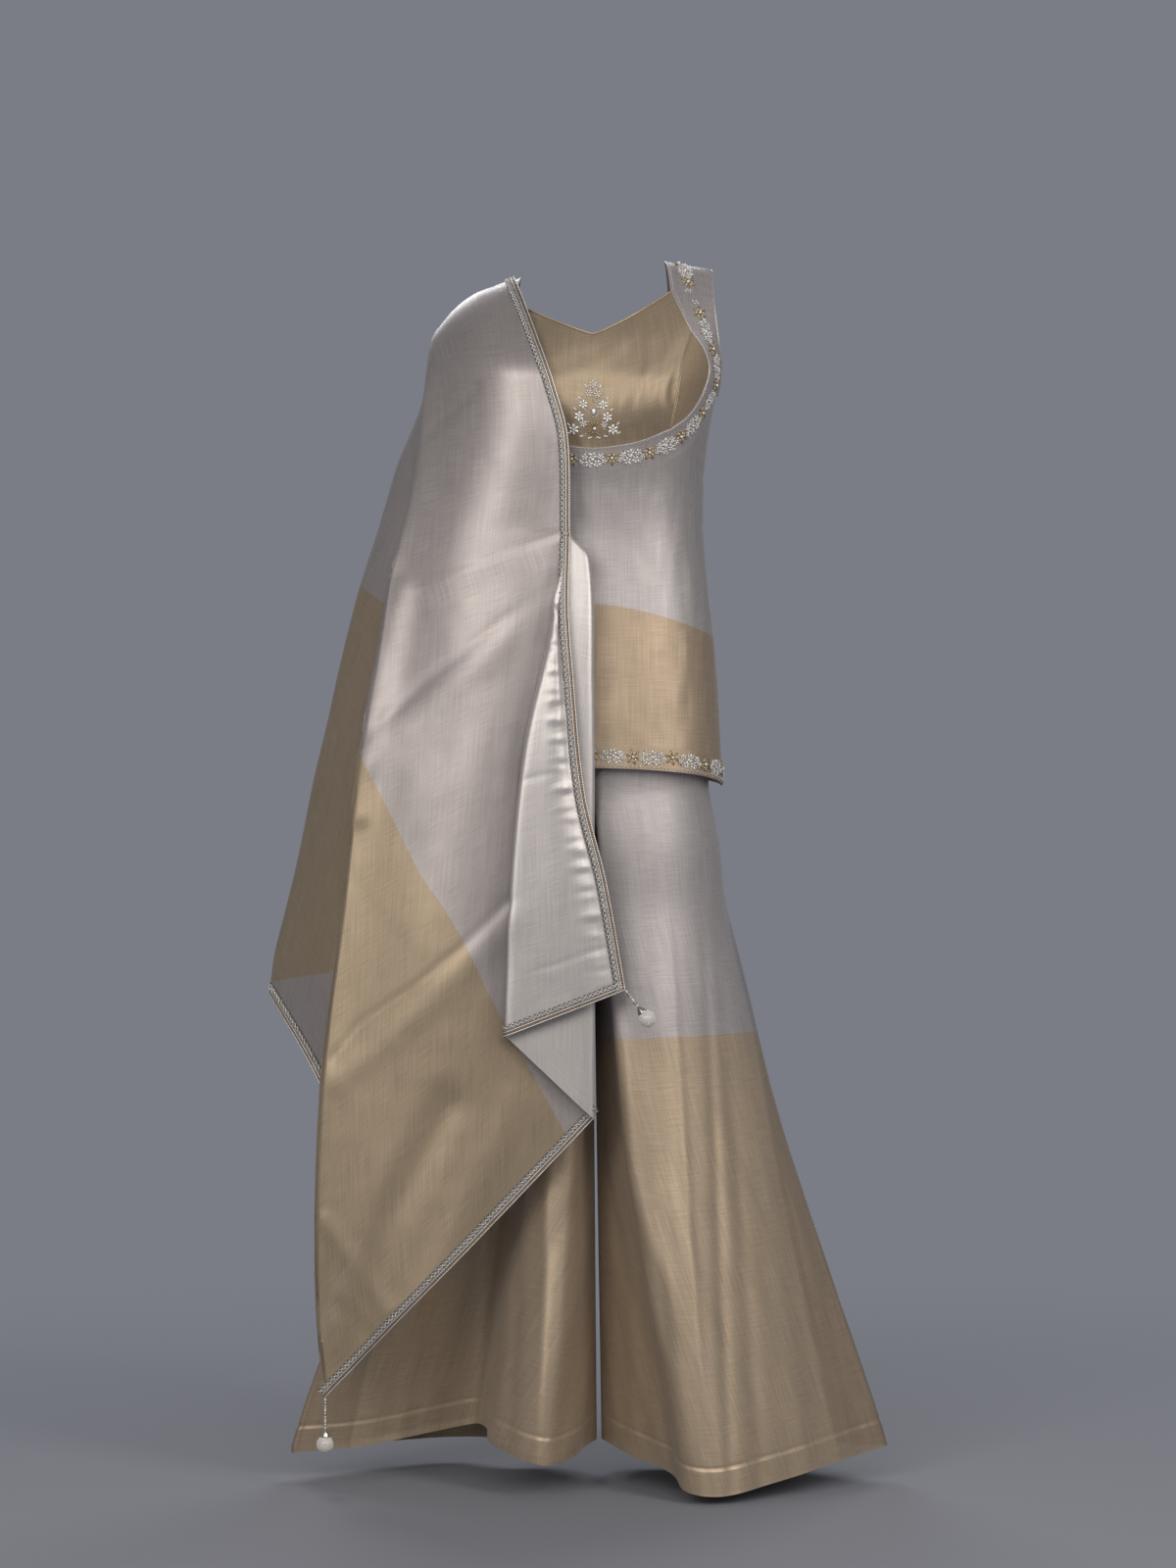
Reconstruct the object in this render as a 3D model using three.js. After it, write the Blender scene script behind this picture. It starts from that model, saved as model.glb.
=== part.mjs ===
// Palazzo suit: a short sleeveless top, palazzo trousers and a long stole (dupatta) over the
// wearer's right shoulder, in the hollow form that they have when worn.
// Millimetres, +Z up, the front faces -Y, and the wearer's left is +X.
// The origin is on the centre line at the height of the shoulders, where the wearer holds the suit.
import * as THREE from 'three';

// Cloth and seams
const CLOTH = 1.5; // wall of the lined tissue of the top and the palazzo
const STOLE = 1.2; // wall of the stole
const TRIM = 1.0; // wall of braid, border and embroidery laid on a panel
const SEAM = 0.3; // room between two pieces at a seam, and between a panel and what lies on it
const SEAM_SHORT = 0.24; // how far each piece stops short of the line of its seam
const MITRE_LEAST = 0.3; // keeps a sharp corner from moving in too far
const POINTS_PER_MM = 50; // net points nearer than a fiftieth of a millimetre are one point
const WAISTBAND = 2.1; // wall of the doubled waistband

// Top: half width of its rings, and their depth to the front and the back
const TOP_WIDTH = [
  { z: 20, half: 172 },
  { z: -100, half: 168 },
  { z: -145, half: 164 },
  { z: -185, half: 153 },
  { z: -243, half: 144 },
  { z: -295, half: 141 },
  { z: -361, half: 142 },
  { z: -451, half: 151.5 },
  { z: -527, half: 158 },
  { z: -610, half: 163 },
  { z: -670, half: 165 },
];
const TOP_DEPTH = [
  { z: -160, front: 112, back: 98 },
  { z: -200, front: 113, back: 97 },
  { z: -243, front: 105, back: 94 },
  { z: -295, front: 95, back: 90 },
  { z: -361, front: 91, back: 90 },
  { z: -451, front: 96, back: 102 },
  { z: -527, front: 103, back: 112 },
  { z: -610, front: 110, back: 118 },
  { z: -670, front: 114, back: 121 },
];
const RING_POWER = 2.4; // how square a ring of the top is
const CHEST_Z = -160; // above this height the cloth curves over to the shoulders
const SHOULDER_POWER = 1.5;
const BUST = { x: 78, z: -180, wide: 46, high: 42, out: 8 };
const SHOULDER_IN = { x: 91, z: 6 }; // the strap's inner edge where it crosses the shoulder
const SHOULDER_OUT = { x: 152, z: -5 };
const RIGHT_DROP = [
  { x: 0, keep: 1 },
  { x: 45, keep: 0.94 },
  { x: 91, keep: 0.88 },
  { x: 152, keep: 0.787 },
  { x: 175, keep: 0.76 },
]; // the wearer's right shoulder hangs lower than the left

// Top: its seams on the front, as distance from the centre line and height
const NECK_V_Z = -100;
const NECK_CORNER = { x: 98, z: -40 };
const YOKE_SEAM_UPPER = [NECK_CORNER, { x: 110, z: -66 }, { x: 124, z: -95 }];
const YOKE_SEAM_SIDE = [
  { x: 124, z: -95 },
  { x: 139, z: -116 },
  { x: 146, z: -140 },
  { x: 136, z: -174 },
  { x: 118, z: -202 },
  { x: 97, z: -219 },
];
const PRINCESS_SEAM = [
  { x: 124, z: -95 },
  { x: 111, z: -140 },
  { x: 104, z: -184 },
  { x: 97, z: -219 },
];
const YOKE_SEAM_LOWER = [
  { x: 97, z: -219 },
  { x: 59, z: -235 },
  { x: 17, z: -243 },
  { x: 0, z: -244 },
];
const ARMHOLE = [
  { x: 154, z: -53 },
  { x: 159, z: -98 },
  { x: 163, z: -132 },
  { x: 161.5, z: -152 },
];
const ARMHOLE_LOW_Z = -172; // the armhole's lowest point, at the side seam
const BODY_SEAM_SIDE = [
  { x: 147, z: -196 },
  { x: 133, z: -222 },
  { x: 118, z: -243 },
];
const BODY_SEAM_LOWER = [
  { x: 118, z: -243 },
  { x: 92, z: -259 },
  { x: 59, z: -269 },
  { x: 17, z: -274 },
  { x: 0, z: -274.5 },
];
const BACK_CORNER_IN = { x: 98, z: -44 };
const BACK_CORNER_OUT = { x: 153, z: -52 };
const BACK_ARMHOLE = [
  { x: 160, z: -120 },
  { x: 159, z: -158 },
];
const HEM_CENTRE_Z = -643;
const HEM_SIDE_DROP = 19;
const HEM_CURVE = 1.5; // how late the drop comes towards the side
const HEM_BORDER = 30; // depth of the embroidered hem strip
const PIPING = 3;

// How many steps each seam of the top is divided into
const STEPS = { upper: 3, side: 8, lower: 6, band: 3, strap: 10, yokeBack: 4, backNeck: 4, body: 8 };
const YOKE_BACK_SHARE = 0.17; // share of the side seam beside the back bodice
const BACK_SEAM_Z = -255; // height of the back bodice's lower seam at the centre
const BACK_NECK = [
  { x: 0, z: -150 },
  { x: 40, z: -138 },
  { x: 78, z: -96 },
];
const EVEN_OUT = 1.6; // how soon the columns of the lower front panel come to even angles

// Palazzo: room between it and the top's rings, down to the flare
const PALAZZO_ROOM = [
  { z: -360, room: 6 },
  { z: -410, room: 4 },
  { z: -480, room: 1.15 },
  { z: -530, room: 1.15 },
  { z: -600, room: 9 },
  { z: -664, room: 17 },
];
const WAIST_TOP_Z = -362;
const WAIST_Z = -396; // where the panels are sewn to the waistband
const FLARE_Z = -664; // below the hips each leg goes from a D to the flared ring of its hem
const HIP_END_Z = -724; // the D of the hips keeps its shape from here down
const CROTCH = { from: -600, to: -722 }; // the centre seam curves back between the legs
const ARC_STEPS = 12; // points of the D along the ring
const WAIST_STEPS = 32;
const LEG_ROWS = 18;
const LEG_STEPS = 12; // from the side seam to the inseam
const LEG_GAP = 0.35; // between the two legs at the crotch
const FLARE = [
  { z: -664, out: 146 },
  { z: -730, out: 160 },
  { z: -807, out: 168 },
  { z: -899, out: 190 },
  { z: -1026, out: 220 },
  { z: -1112, out: 245 },
  { z: -1285, out: 302 },
  { z: -1442, out: 356 },
  { z: -1500, out: 373 },
];
// The hem of each leg, from the side seam over the front fold to the inseam, then over the back
const LEFT_HEM = [
  { x: 373, y: 6, z: -1499 },
  { x: 300, y: -58, z: -1510 },
  { x: 225, y: -128, z: -1522 },
  { x: 152, y: -178, z: -1531 },
  { x: 112, y: -164, z: -1527 },
  { x: 92, y: -118, z: -1512 },
  { x: 52, y: -66, z: -1500 },
  { x: 11, y: -8, z: -1488 },
  { x: 22, y: 62, z: -1497 },
  { x: 66, y: 118, z: -1508 },
  { x: 104, y: 112, z: -1509 },
  { x: 150, y: 154, z: -1514 },
  { x: 226, y: 128, z: -1512 },
  { x: 304, y: 68, z: -1505 },
];
const RIGHT_HEM = [
  { x: -383, y: 12, z: -1509 },
  { x: -302, y: 14, z: -1502 },
  { x: -216, y: 44, z: -1490 },
  { x: -152, y: 50, z: -1478 },
  { x: -136, y: -8, z: -1474 },
  { x: -126, y: -72, z: -1484 },
  { x: -58, y: -136, z: -1500 },
  { x: 5, y: -12, z: -1488 },
  { x: -8, y: 66, z: -1495 },
  { x: -62, y: 128, z: -1505 },
  { x: -112, y: 118, z: -1507 },
  { x: -168, y: 160, z: -1512 },
  { x: -246, y: 134, z: -1512 },
  { x: -322, y: 78, z: -1510 },
];
const INSEAM_POINT = 7; // row of the hem tables that is the inseam

// Stole: the lines that its cloth hangs by
const RIDGE = [
  { x: -100, z: -14.6 },
  { x: -122, z: -24.0 },
  { x: -152, z: -35.9 },
  { x: -180, z: -58 },
  { x: -208, z: -92 },
]; // over the shoulder, from the neck to the arm
const EDGE_UPPER = [
  { z: -160, x: -50, y: -124 },
  { z: -232, x: -31, y: -126 },
  { z: -356, x: -28, y: -126 },
]; // trimmed long edge, from the chest to the start of the pleat
const EDGE_LOWER = [
  { z: -356, x: -28, y: -134 },
  { z: -443, x: -30, y: -150 },
  { z: -532, x: -24, y: -157 },
  { z: -675, x: -10, y: -160 },
  { z: -782, x: 16, y: -163 },
  { z: -916, x: 40, y: -164 },
]; // the same edge on the pleat's front strip, down to the corner
const PLEAT_LEFT = [
  { z: -358, x: -36, y: -131.4 },
  { z: -420, x: -43, y: -143 },
  { z: -501, x: -59, y: -150 },
  { z: -623, x: -85, y: -154 },
  { z: -807, x: -102, y: -156 },
  { z: -973, x: -107, y: -157 },
]; // fold between the front strip and the middle layer
const PLEAT_RIGHT = [
  { z: -356, x: -27, y: -127.4 },
  { z: -383, x: -4, y: -129 },
  { z: -543, x: 1, y: -134 },
  { z: -784, x: 1, y: -138 },
  { z: -1075, x: 1, y: -140 },
]; // fold between the middle and the main layer
const FOLD_FRONT = [
  { z: -160, x: -216, y: -34 },
  { z: -224, x: -224, y: -48 },
  { z: -331, x: -239, y: -66 },
  { z: -409, x: -256, y: -74 },
  { z: -528, x: -274, y: -82 },
  { z: -660, x: -295, y: -86 },
  { z: -825, x: -313, y: -88 },
  { z: -965, x: -331, y: -88 },
  { z: -1093, x: -340, y: -88 },
  { z: -1308, x: -345, y: -86 },
  { z: -1425, x: -333, y: -84 },
]; // the main layer's left fold, down to the front corner
const ARM_LINE = [
  { z: -92, x: -208, y: 0 },
  { z: -167, x: -227, y: 2 },
  { z: -242, x: -249, y: 4 },
  { z: -313, x: -269, y: 6 },
  { z: -410, x: -295, y: 8 },
  { z: -521, x: -323, y: 10 },
  { z: -618, x: -344, y: 12 },
  { z: -766, x: -375, y: 12 },
  { z: -881, x: -402, y: 12 },
  { z: -932, x: -408, y: 12 },
]; // the outline at the side, over the arm
const FOLD_BACK = [
  { z: -160, x: -212, y: 44 },
  { z: -313, x: -246, y: 74 },
  { z: -521, x: -286, y: 100 },
  { z: -766, x: -318, y: 118 },
  { z: -1100, x: -336, y: 132 },
]; // where the side turns into the back fall
const BACK_EDGE = [
  { z: -160, x: -66, y: 118 },
  { z: -400, x: -44, y: 128 },
  { z: -664, x: -30, y: 140 },
  { z: -1000, x: -24, y: 156 },
  { z: -1290, x: -22, y: 172 },
]; // trimmed long edge down the back
const STOLE_COLUMNS = 10;
const SHOULDER_ROWS = 5;
const FALL_ROWS = 16;
const PLEAT_ROW = 3; // the row of the main layer where the pleat starts
const STRIP_STEPS = 4;
const TUCK = 66; // how far the cloth runs back behind the front fold
const TUCK_START = { z: -185, over: 260 }; // where it begins, and over what height it grows
const TUCK_IN = 12; // and how much deeper than the fold it lies there
const FOLD_ROUND = 4; // a fold is rounded over this much of the cloth
const SIDE_SETTLES = 5; // the side follows its fold lines from a fifth of its fall down
const MAIN_BULGE = 20; // how far the main layer stands out between its edge and its fold
const BUST_SWELL = { out: 1.4, lean: 0.9, power: 1.2 }; // its shape over the bust
const LOW_SWELL = 1.6; // and below the bust
const SWELL_FROM = 0.03; // share of the length over the bust alone
const BACK_BULGE = { upper: 16, lower: 24 };
const MIDDLE_DEPTH = 0.66; // where the middle layer lies between the main layer and the strip
const STRIP_SHARES = [0.36, 0.7]; // columns of the strip between its fold and its edge
const SIDE_BOTTOM = [-1425, -1330, -1215, -1190, -1040, -932, -938, -962, -996, -1040, -1090];
const BACK_BOTTOM = [-1290, -1304, -1318, -1338, -1352, -1372, -1392, -1410, -1300, -1190, -1090];
const BACK_FOLDS = { count: 3.5, out: 13, grow: 1.4 };
const BACK_CORNER = 7; // the column of the back fall that ends in its corner
const TRIM_WIDTH = 14;
const BRAID_REACH = 0.9; // most of a narrow column that the braid may cover
const ARM_AXIS = { x: -250, y: 20 };

// Tassels: beads on a cord, a metal cap and a beaded ball
const TASSEL = { cord: 1.3, bead: 2.4, beadStep: 14, cap: 5, lip: 6, capLong: 8, ball: 11, sides: 8 };
const BALL_SUNK = 0.65; // share of the ball's radius from the cap down to its centre
const BALL_RINGS = [50, 75, 100, 125, 150]; // degrees from its top

// Colours of the cloth
const GOLD = 0xa89070;
const SILVER = 0xaba39e;
const BRAID = 0xbab3a6;
const PEARL = 0xd8d4cc;

const mix = (a, b, t) => a + (b - a) * t;
const clamp = (v, low, high) => Math.min(high, Math.max(low, v));
const rad = THREE.MathUtils.degToRad;
const ease = (t) => {
  const s = clamp(t, 0, 1);
  return s * s * (3 - 2 * s);
};
const bell = (v) => Math.exp(-v * v);
const point = (x, y, z) => new THREE.Vector3(x, y, z);

// A value read off a table, smooth between its rows and even beyond them.
function along(table, by, key, at) {
  const rising = table[1][by] > table[0][by];
  const rows = rising ? table : [...table].reverse();
  if (at <= rows[0][by]) return rows[0][key];
  const last = rows.length - 1;
  if (at >= rows[last][by]) return rows[last][key];
  let i = 0;
  while (rows[i + 1][by] < at) i += 1;
  const slope = (k) => {
    const low = Math.max(0, k - 1);
    const high = Math.min(last, k + 1);
    return (rows[high][key] - rows[low][key]) / (rows[high][by] - rows[low][by]);
  };
  const step = rows[i + 1][by] - rows[i][by];
  const t = (at - rows[i][by]) / step;
  const a = rows[i][key];
  const b = rows[i + 1][key];
  const da = slope(i) * step;
  const db = slope(i + 1) * step;
  return a + t * (da + t * (3 * (b - a) - 2 * da - db + t * (2 * (a - b) + da + db)));
}

// Points at even lengths along a line through the rows of a table.
function divide(rows, steps, axes = ['x', 'z']) {
  const at = (row) => point(row.x, axes.includes('y') ? row.y : 0, row.z);
  const curve = new THREE.CatmullRomCurve3(rows.map(at), false, 'centripetal');
  return curve.getSpacedPoints(steps);
}

// Cloth as a net of points with a wall inside it. Pieces that share a seam share its points.
class Cloth {
  constructor(wall) {
    this.wall = wall;
    this.points = [];
    this.ids = new Map();
    this.pieces = new Map();
  }

  id(p) {
    const key = [p.x, p.y, p.z].map((v) => Math.round(v * POINTS_PER_MM)).join(' ');
    if (!this.ids.has(key)) {
      this.ids.set(key, this.points.length);
      this.points.push(p.clone());
    }
    return this.ids.get(key);
  }

  // Rows run down and columns run round the body from front to left, seen from outside.
  lay(name, rows) {
    if (!this.pieces.has(name)) this.pieces.set(name, []);
    const faces = this.pieces.get(name);
    const net = rows.map((row) => row.map((p) => this.id(p)));
    for (let r = 0; r + 1 < net.length; r += 1) {
      for (let c = 0; c + 1 < net[r].length; c += 1) {
        const square = [net[r][c], net[r + 1][c], net[r + 1][c + 1], net[r][c + 1]];
        const quad = this.outwardFold(square);
        const corners = quad.filter((v, k) => v !== quad[(k + 1) % 4]);
        if (corners.length > 2) faces.push(corners);
      }
    }
    return this;
  }

  // A quad that isn't flat folds outwards along its first diagonal.
  outwardFold(quad) {
    const [a, b, c, d] = quad.map((v) => this.points[v]);
    const out = c.clone().sub(a).cross(d.clone().sub(b));
    const rise = b.clone().add(d).sub(a).sub(c).dot(out);
    return rise > 0 ? [...quad.slice(1), quad[0]] : quad;
  }

  normals() {
    const sums = this.points.map(() => point(0, 0, 0));
    for (const faces of this.pieces.values()) {
      for (const face of faces) {
        for (let k = 0; k < face.length; k += 1) {
          const here = this.points[face[k]];
          const next = this.points[face[(k + 1) % face.length]].clone().sub(here);
          const prev = this.points[face[(k + face.length - 1) % face.length]].clone().sub(here);
          const turn = next.clone().cross(prev);
          const size = turn.length() || 1;
          const angle = Math.atan2(size, next.dot(prev));
          sums[face[k]].addScaledVector(turn, angle / size);
        }
      }
    }
    return sums.map((v) => v.normalize());
  }

  // How a point on a piece's edge moves in for each millimetre that the edge moves in.
  inwardPull(faces, edges) {
    const sums = new Map();
    for (const face of faces) {
      const [p, q, r] = face.map((v) => this.points[v]);
      const opposite = face.length > 3 ? this.points[face[3]] : p;
      const out = r.clone().sub(p).cross(opposite.clone().sub(q)).normalize();
      face.forEach((a, k) => {
        const b = face[(k + 1) % face.length];
        if (!edges.has(`${a} ${b}`)) return;
        const inward = out.clone().cross(this.points[b].clone().sub(this.points[a])).normalize();
        for (const v of [a, b]) sums.set(v, [...(sums.get(v) ?? []), inward]);
      });
    }
    return new Map([...sums].map(([v, list]) => {
      const mean = list.reduce((sum, d) => sum.addScaledVector(d, 1 / list.length), point(0, 0, 0));
      return [v, mean.divideScalar(Math.max(mean.lengthSq(), MITRE_LEAST))];
    }));
  }

  // The closed solid of each piece: its points, the same points a wall further in, and a rim.
  solids() {
    const normals = this.normals();
    const result = new Map();
    for (const [name, faces] of this.pieces) {
      const edges = new Map();
      for (const face of faces) {
        face.forEach((a, k) => {
          const b = face[(k + 1) % face.length];
          if (!edges.delete(`${b} ${a}`)) edges.set(`${a} ${b}`, [a, b]);
        });
      }
      const pull = this.inwardPull(faces, edges);
      const order = [...new Set(faces.flat())];
      const place = new Map(order.map((v, k) => [v, k]));
      const outer = order.map((v) => {
        const p = this.points[v].clone();
        if (pull.has(v)) p.addScaledVector(pull.get(v), SEAM_SHORT);
        return p;
      });
      const inner = order.map((v, k) => outer[k].clone().addScaledVector(normals[v], -this.wall));
      const triangles = [];
      const n = order.length;
      for (const face of faces) {
        const loop = face.map((v) => place.get(v));
        triangles.push(...fan(loop));
        triangles.push(...fan(loop.map((k) => k + n)).reverse());
      }
      for (const [a, b] of edges.values()) {
        const rim = [place.get(b), place.get(a), place.get(a) + n, place.get(b) + n];
        triangles.push(...fan(a < b ? [...rim.slice(1), rim[0]] : rim));
      }
      result.set(name, solid([...outer, ...inner], triangles));
    }
    return result;
  }
}

function fan(loop) {
  const triangles = [];
  for (let k = 1; k + 1 < loop.length; k += 1) {
    triangles.push(loop[0], loop[k], loop[k + 1]);
  }
  return triangles;
}

function solid(points, triangles) {
  const geometry = new THREE.BufferGeometry();
  const numbers = points.flatMap((p) => [p.x, p.y, p.z]);
  geometry.setAttribute('position', new THREE.Float32BufferAttribute(numbers, 3));
  geometry.setIndex(triangles);
  return geometry;
}

const group = new THREE.Group();

function show(name, geometry, colour, roughness = 0.45, metalness = 0.35) {
  const material = new THREE.MeshStandardMaterial({ color: colour, roughness, metalness });
  const mesh = new THREE.Mesh(geometry, material);
  mesh.name = name;
  group.add(mesh);
}

// Braid, border or embroidery that lies on a panel: the panel's own points, moved out.
function overlay(rows, normal, room = SEAM, flip = false) {
  const raised = new Cloth(TRIM);
  const lift = room + TRIM;
  const moved = rows.map((row, r) => row.map((p, c) => p.clone().addScaledVector(normal(r, c), lift)));
  raised.lay('strip', flip ? moved.reverse() : moved);
  return raised.solids().get('strip');
}

function gridNormals(rows) {
  return (r, c) => {
    const up = rows[Math.max(0, r - 1)][c];
    const down = rows[Math.min(rows.length - 1, r + 1)][c];
    const before = rows[r][Math.max(0, c - 1)];
    const after = rows[r][Math.min(rows[r].length - 1, c + 1)];
    return down.clone().sub(up).cross(after.clone().sub(before)).normalize();
  };
}

// The top's surface

function ridgeHeight(x) {
  const t = (Math.abs(x) - SHOULDER_IN.x) / (SHOULDER_OUT.x - SHOULDER_IN.x);
  return mix(SHOULDER_IN.z, SHOULDER_OUT.z, t);
}

function chestShare(x, z, top = ridgeHeight(x)) {
  const rise = clamp((z - CHEST_Z) / (top - CHEST_Z), 0, 1);
  return Math.pow(1 - Math.pow(rise, SHOULDER_POWER), 1 / SHOULDER_POWER);
}

function lowerRight(p) {
  if (p.x < 0 && p.z > CHEST_Z) {
    p.z = CHEST_Z + (p.z - CHEST_Z) * along(RIGHT_DROP, 'x', 'keep', -p.x);
  }
  return p;
}

// Angle 0 is the centre front, 90 the wearer's left side and 180 the centre back.
function onTop(angle, z) {
  const half = along(TOP_WIDTH, 'z', 'half', z);
  const turn = rad(angle);
  const x = Math.sign(Math.sin(turn)) * half * Math.pow(Math.abs(Math.sin(turn)), 2 / RING_POWER);
  const cosine = Math.cos(turn);
  const side = cosine > 0 ? 'front' : 'back';
  const depth = along(TOP_DEPTH, 'z', side, z) * chestShare(x, z);
  let y = Math.pow(Math.abs(cosine), 2 / RING_POWER) * depth;
  if (cosine > 0) {
    const beside = bell((Math.abs(x) - BUST.x) / BUST.wide);
    y += BUST.out * beside * bell((z - BUST.z) / BUST.high) * ease(cosine * 3);
  }
  return lowerRight(point(x, cosine > 0 ? -y : y, z));
}

function angleOf(x, z, back = false) {
  const share = clamp(Math.abs(x) / along(TOP_WIDTH, 'z', 'half', z), 0, 1);
  const angle = THREE.MathUtils.radToDeg(Math.asin(Math.pow(share, RING_POWER / 2)));
  return back ? 180 - angle : angle;
}

// Seams of the top as angle and height, for the wearer's left side
const seam = (rows, steps, back = false) =>
  divide(rows, steps).map((p) => ({ angle: angleOf(p.x, p.z, back), z: p.z }));
const yokeUpper = seam(YOKE_SEAM_UPPER, STEPS.upper);
const yokeSide = seam(YOKE_SEAM_SIDE, STEPS.side);
const princess = seam(PRINCESS_SEAM, STEPS.side);
const yokeLower = seam(YOKE_SEAM_LOWER, STEPS.lower);
const armholeFront = seam(ARMHOLE, STEPS.upper + 3);
const sideTop = { angle: 90, z: ARMHOLE_LOW_Z };
const bodySide = [
  sideTop,
  ...seam(BODY_SEAM_SIDE, STEPS.side / 2 - 1),
];
const bodyLower = seam(BODY_SEAM_LOWER, STEPS.lower);
const bandInner = [...yokeUpper, ...yokeSide.slice(1), ...yokeLower.slice(1)];
const bandOuter = [...armholeFront, ...bodySide, ...bodyLower.slice(1)];

const between = (a, b, t) => ({ angle: mix(a.angle, b.angle, t), z: mix(a.z, b.z, t) });
const place = (s, side) => onTop(side * s.angle, s.z);
const turned = (row, side) => (side > 0 ? row : [...row].reverse());
const sweep = (side, rows) => rows.map((row) => turned(row, side).map((s) => place(s, side)));
const across = (row) => [
  ...row.map((s) => place(s, -1)),
  ...[...row].reverse().slice(1).map((s) => place(s, 1)),
];

const top = new Cloth(CLOTH);
const SIDES = [
  { name: 'left', side: 1 },
  { name: 'right', side: -1 },
];

// Front of the yoke: the middle panel, and a side panel beyond each princess seam
const sideLine = [...yokeUpper, ...princess.slice(1)];
const yokeRows = sideLine.map((edge, r) => {
  const v = r / (sideLine.length - 1);
  const centreZ = mix(NECK_V_Z, YOKE_SEAM_LOWER.at(-1).z, v);
  return yokeLower.map((low, k) => {
    const u = 1 - k / STEPS.lower;
    if (r === sideLine.length - 1) return low;
    if (u === 1) return edge;
    return { angle: edge.angle * u, z: mix(centreZ, edge.z, Math.pow(u, 1 + v)) };
  });
});
top.lay('yoke_front_centre', yokeRows.map(across));
const yokeSideRows = yokeSide.map((edge, r) => [princess[r], between(princess[r], edge, 0.5), edge]);

// The embroidered band round the yoke, and the strap that goes on from it over the shoulder
const bandRows = bandInner.map((inner, r) =>
  Array.from({ length: STEPS.band + 1 }, (_, c) => between(inner, bandOuter[r], c / STEPS.band)));

function strapPoint(u, turn, side) {
  const front = turn < 0;
  const inner = front ? NECK_CORNER : BACK_CORNER_IN;
  const outer = front ? ARMHOLE[0] : BACK_CORNER_OUT;
  const endIn = { angle: angleOf(inner.x, inner.z, !front), z: inner.z };
  const endOut = { angle: angleOf(outer.x, outer.z, !front), z: outer.z };
  const end = between(endIn, endOut, u);
  const endX = Math.abs(onTop(end.angle, end.z).x);
  const topX = mix(SHOULDER_IN.x, SHOULDER_OUT.x, u);
  const share = Math.abs(turn);
  const x = mix(topX, endX, share);
  const ridge = ridgeHeight(x);
  const endRise = (end.z - CHEST_Z) / (ridgeHeight(endX) - CHEST_Z);
  const endTurn = Math.acos(Math.pow(clamp(endRise, 0, 1), SHOULDER_POWER / 2));
  const rise = Math.pow(Math.cos(endTurn * share), 2 / SHOULDER_POWER);
  const z = CHEST_Z + (ridge - CHEST_Z) * rise;
  if (share === 1) return place(end, side);
  if (share === 0) return lowerRight(point(side * x, 0, ridge));
  const half = along(TOP_WIDTH, 'z', 'half', z);
  const width = Math.pow(1 - Math.pow(x / half, RING_POWER), 1 / RING_POWER);
  const depth = along(TOP_DEPTH, 'z', front ? 'front' : 'back', z) * chestShare(x, z, ridge) * width;
  return lowerRight(point(side * x, front ? -depth : depth, z));
}

const strapRows = (side) =>
  Array.from({ length: STEPS.strap + 1 }, (_, r) => {
    const turn = 1 - (2 * r) / STEPS.strap;
    return Array.from({ length: STEPS.band + 1 }, (_, c) => strapPoint(c / STEPS.band, turn, side));
  });

for (const { name, side } of SIDES) {
  top.lay(`yoke_front_side_${name}`, sweep(side, yokeSideRows));
  top.lay(`band_${name}`, sweep(side, bandRows));
  top.lay(`strap_${name}`, strapRows(side).map((row) => turned(row, side)));
}

// The lower panels, front and back, and the plain back bodice
const shares = [
  ...Array.from({ length: STEPS.yokeBack }, (_, k) => (YOKE_BACK_SHARE * k) / STEPS.yokeBack),
  ...Array.from({ length: STEPS.body + 1 }, (_, k) => mix(YOKE_BACK_SHARE, 1, k / STEPS.body)),
];
const hemZ = (angle) => {
  const toSide = 1 - Math.abs(Math.abs(angle) / 90 - 1);
  return HEM_CENTRE_Z - HEM_SIDE_DROP * Math.pow(toSide, HEM_CURVE);
};
const sideZ = (share) => mix(ARMHOLE_LOW_Z, hemZ(90), share);
const bodyTop = [...bodySide, ...bodyLower.slice(1)].reverse();
const columns = bodyTop.length - 1;
const bodyRows = shares.map((share) =>
  bodyTop.map((start, k) => {
    const angle = mix(start.angle, (90 * k) / columns, ease(share * EVEN_OUT));
    return { angle, z: mix(start.z, hemZ(angle), share) };
  }));
const both = (row) => [
  ...[...row].reverse().map((s) => place(s, -1)),
  ...row.slice(1).map((s) => place(s, 1)),
];
const bodyFront = bodyRows.map(both);
top.lay('body_front', bodyFront);

const backRows = shares.slice(STEPS.yokeBack).map((share) => {
  const fall = (share - YOKE_BACK_SHARE) / (1 - YOKE_BACK_SHARE);
  return Array.from({ length: columns + 1 }, (_, k) => {
    const angle = 90 + (90 * k) / columns;
    const z = mix(sideZ(share), mix(BACK_SEAM_Z, HEM_CENTRE_Z, fall), k / columns);
    return { angle, z: share === 1 ? hemZ(angle) : z };
  });
});
const backNeck = seam([...BACK_NECK, BACK_CORNER_IN], STEPS.backNeck, true);
const backStrapEnd = strapRows(1)[0].map((_, c) => {
  const a = { angle: angleOf(BACK_CORNER_IN.x, BACK_CORNER_IN.z, true), z: BACK_CORNER_IN.z };
  const b = { angle: angleOf(BACK_CORNER_OUT.x, BACK_CORNER_OUT.z, true), z: BACK_CORNER_OUT.z };
  return between(a, b, c / STEPS.band);
});
const armholeSteps = columns - STEPS.backNeck - STEPS.band - 1;
const backArmhole = seam([BACK_CORNER_OUT, ...BACK_ARMHOLE], armholeSteps, true);
const backTop = [...backNeck, ...backStrapEnd.slice(1), ...backArmhole.slice(1), sideTop].reverse();
const backLow = backRows[0];
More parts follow.
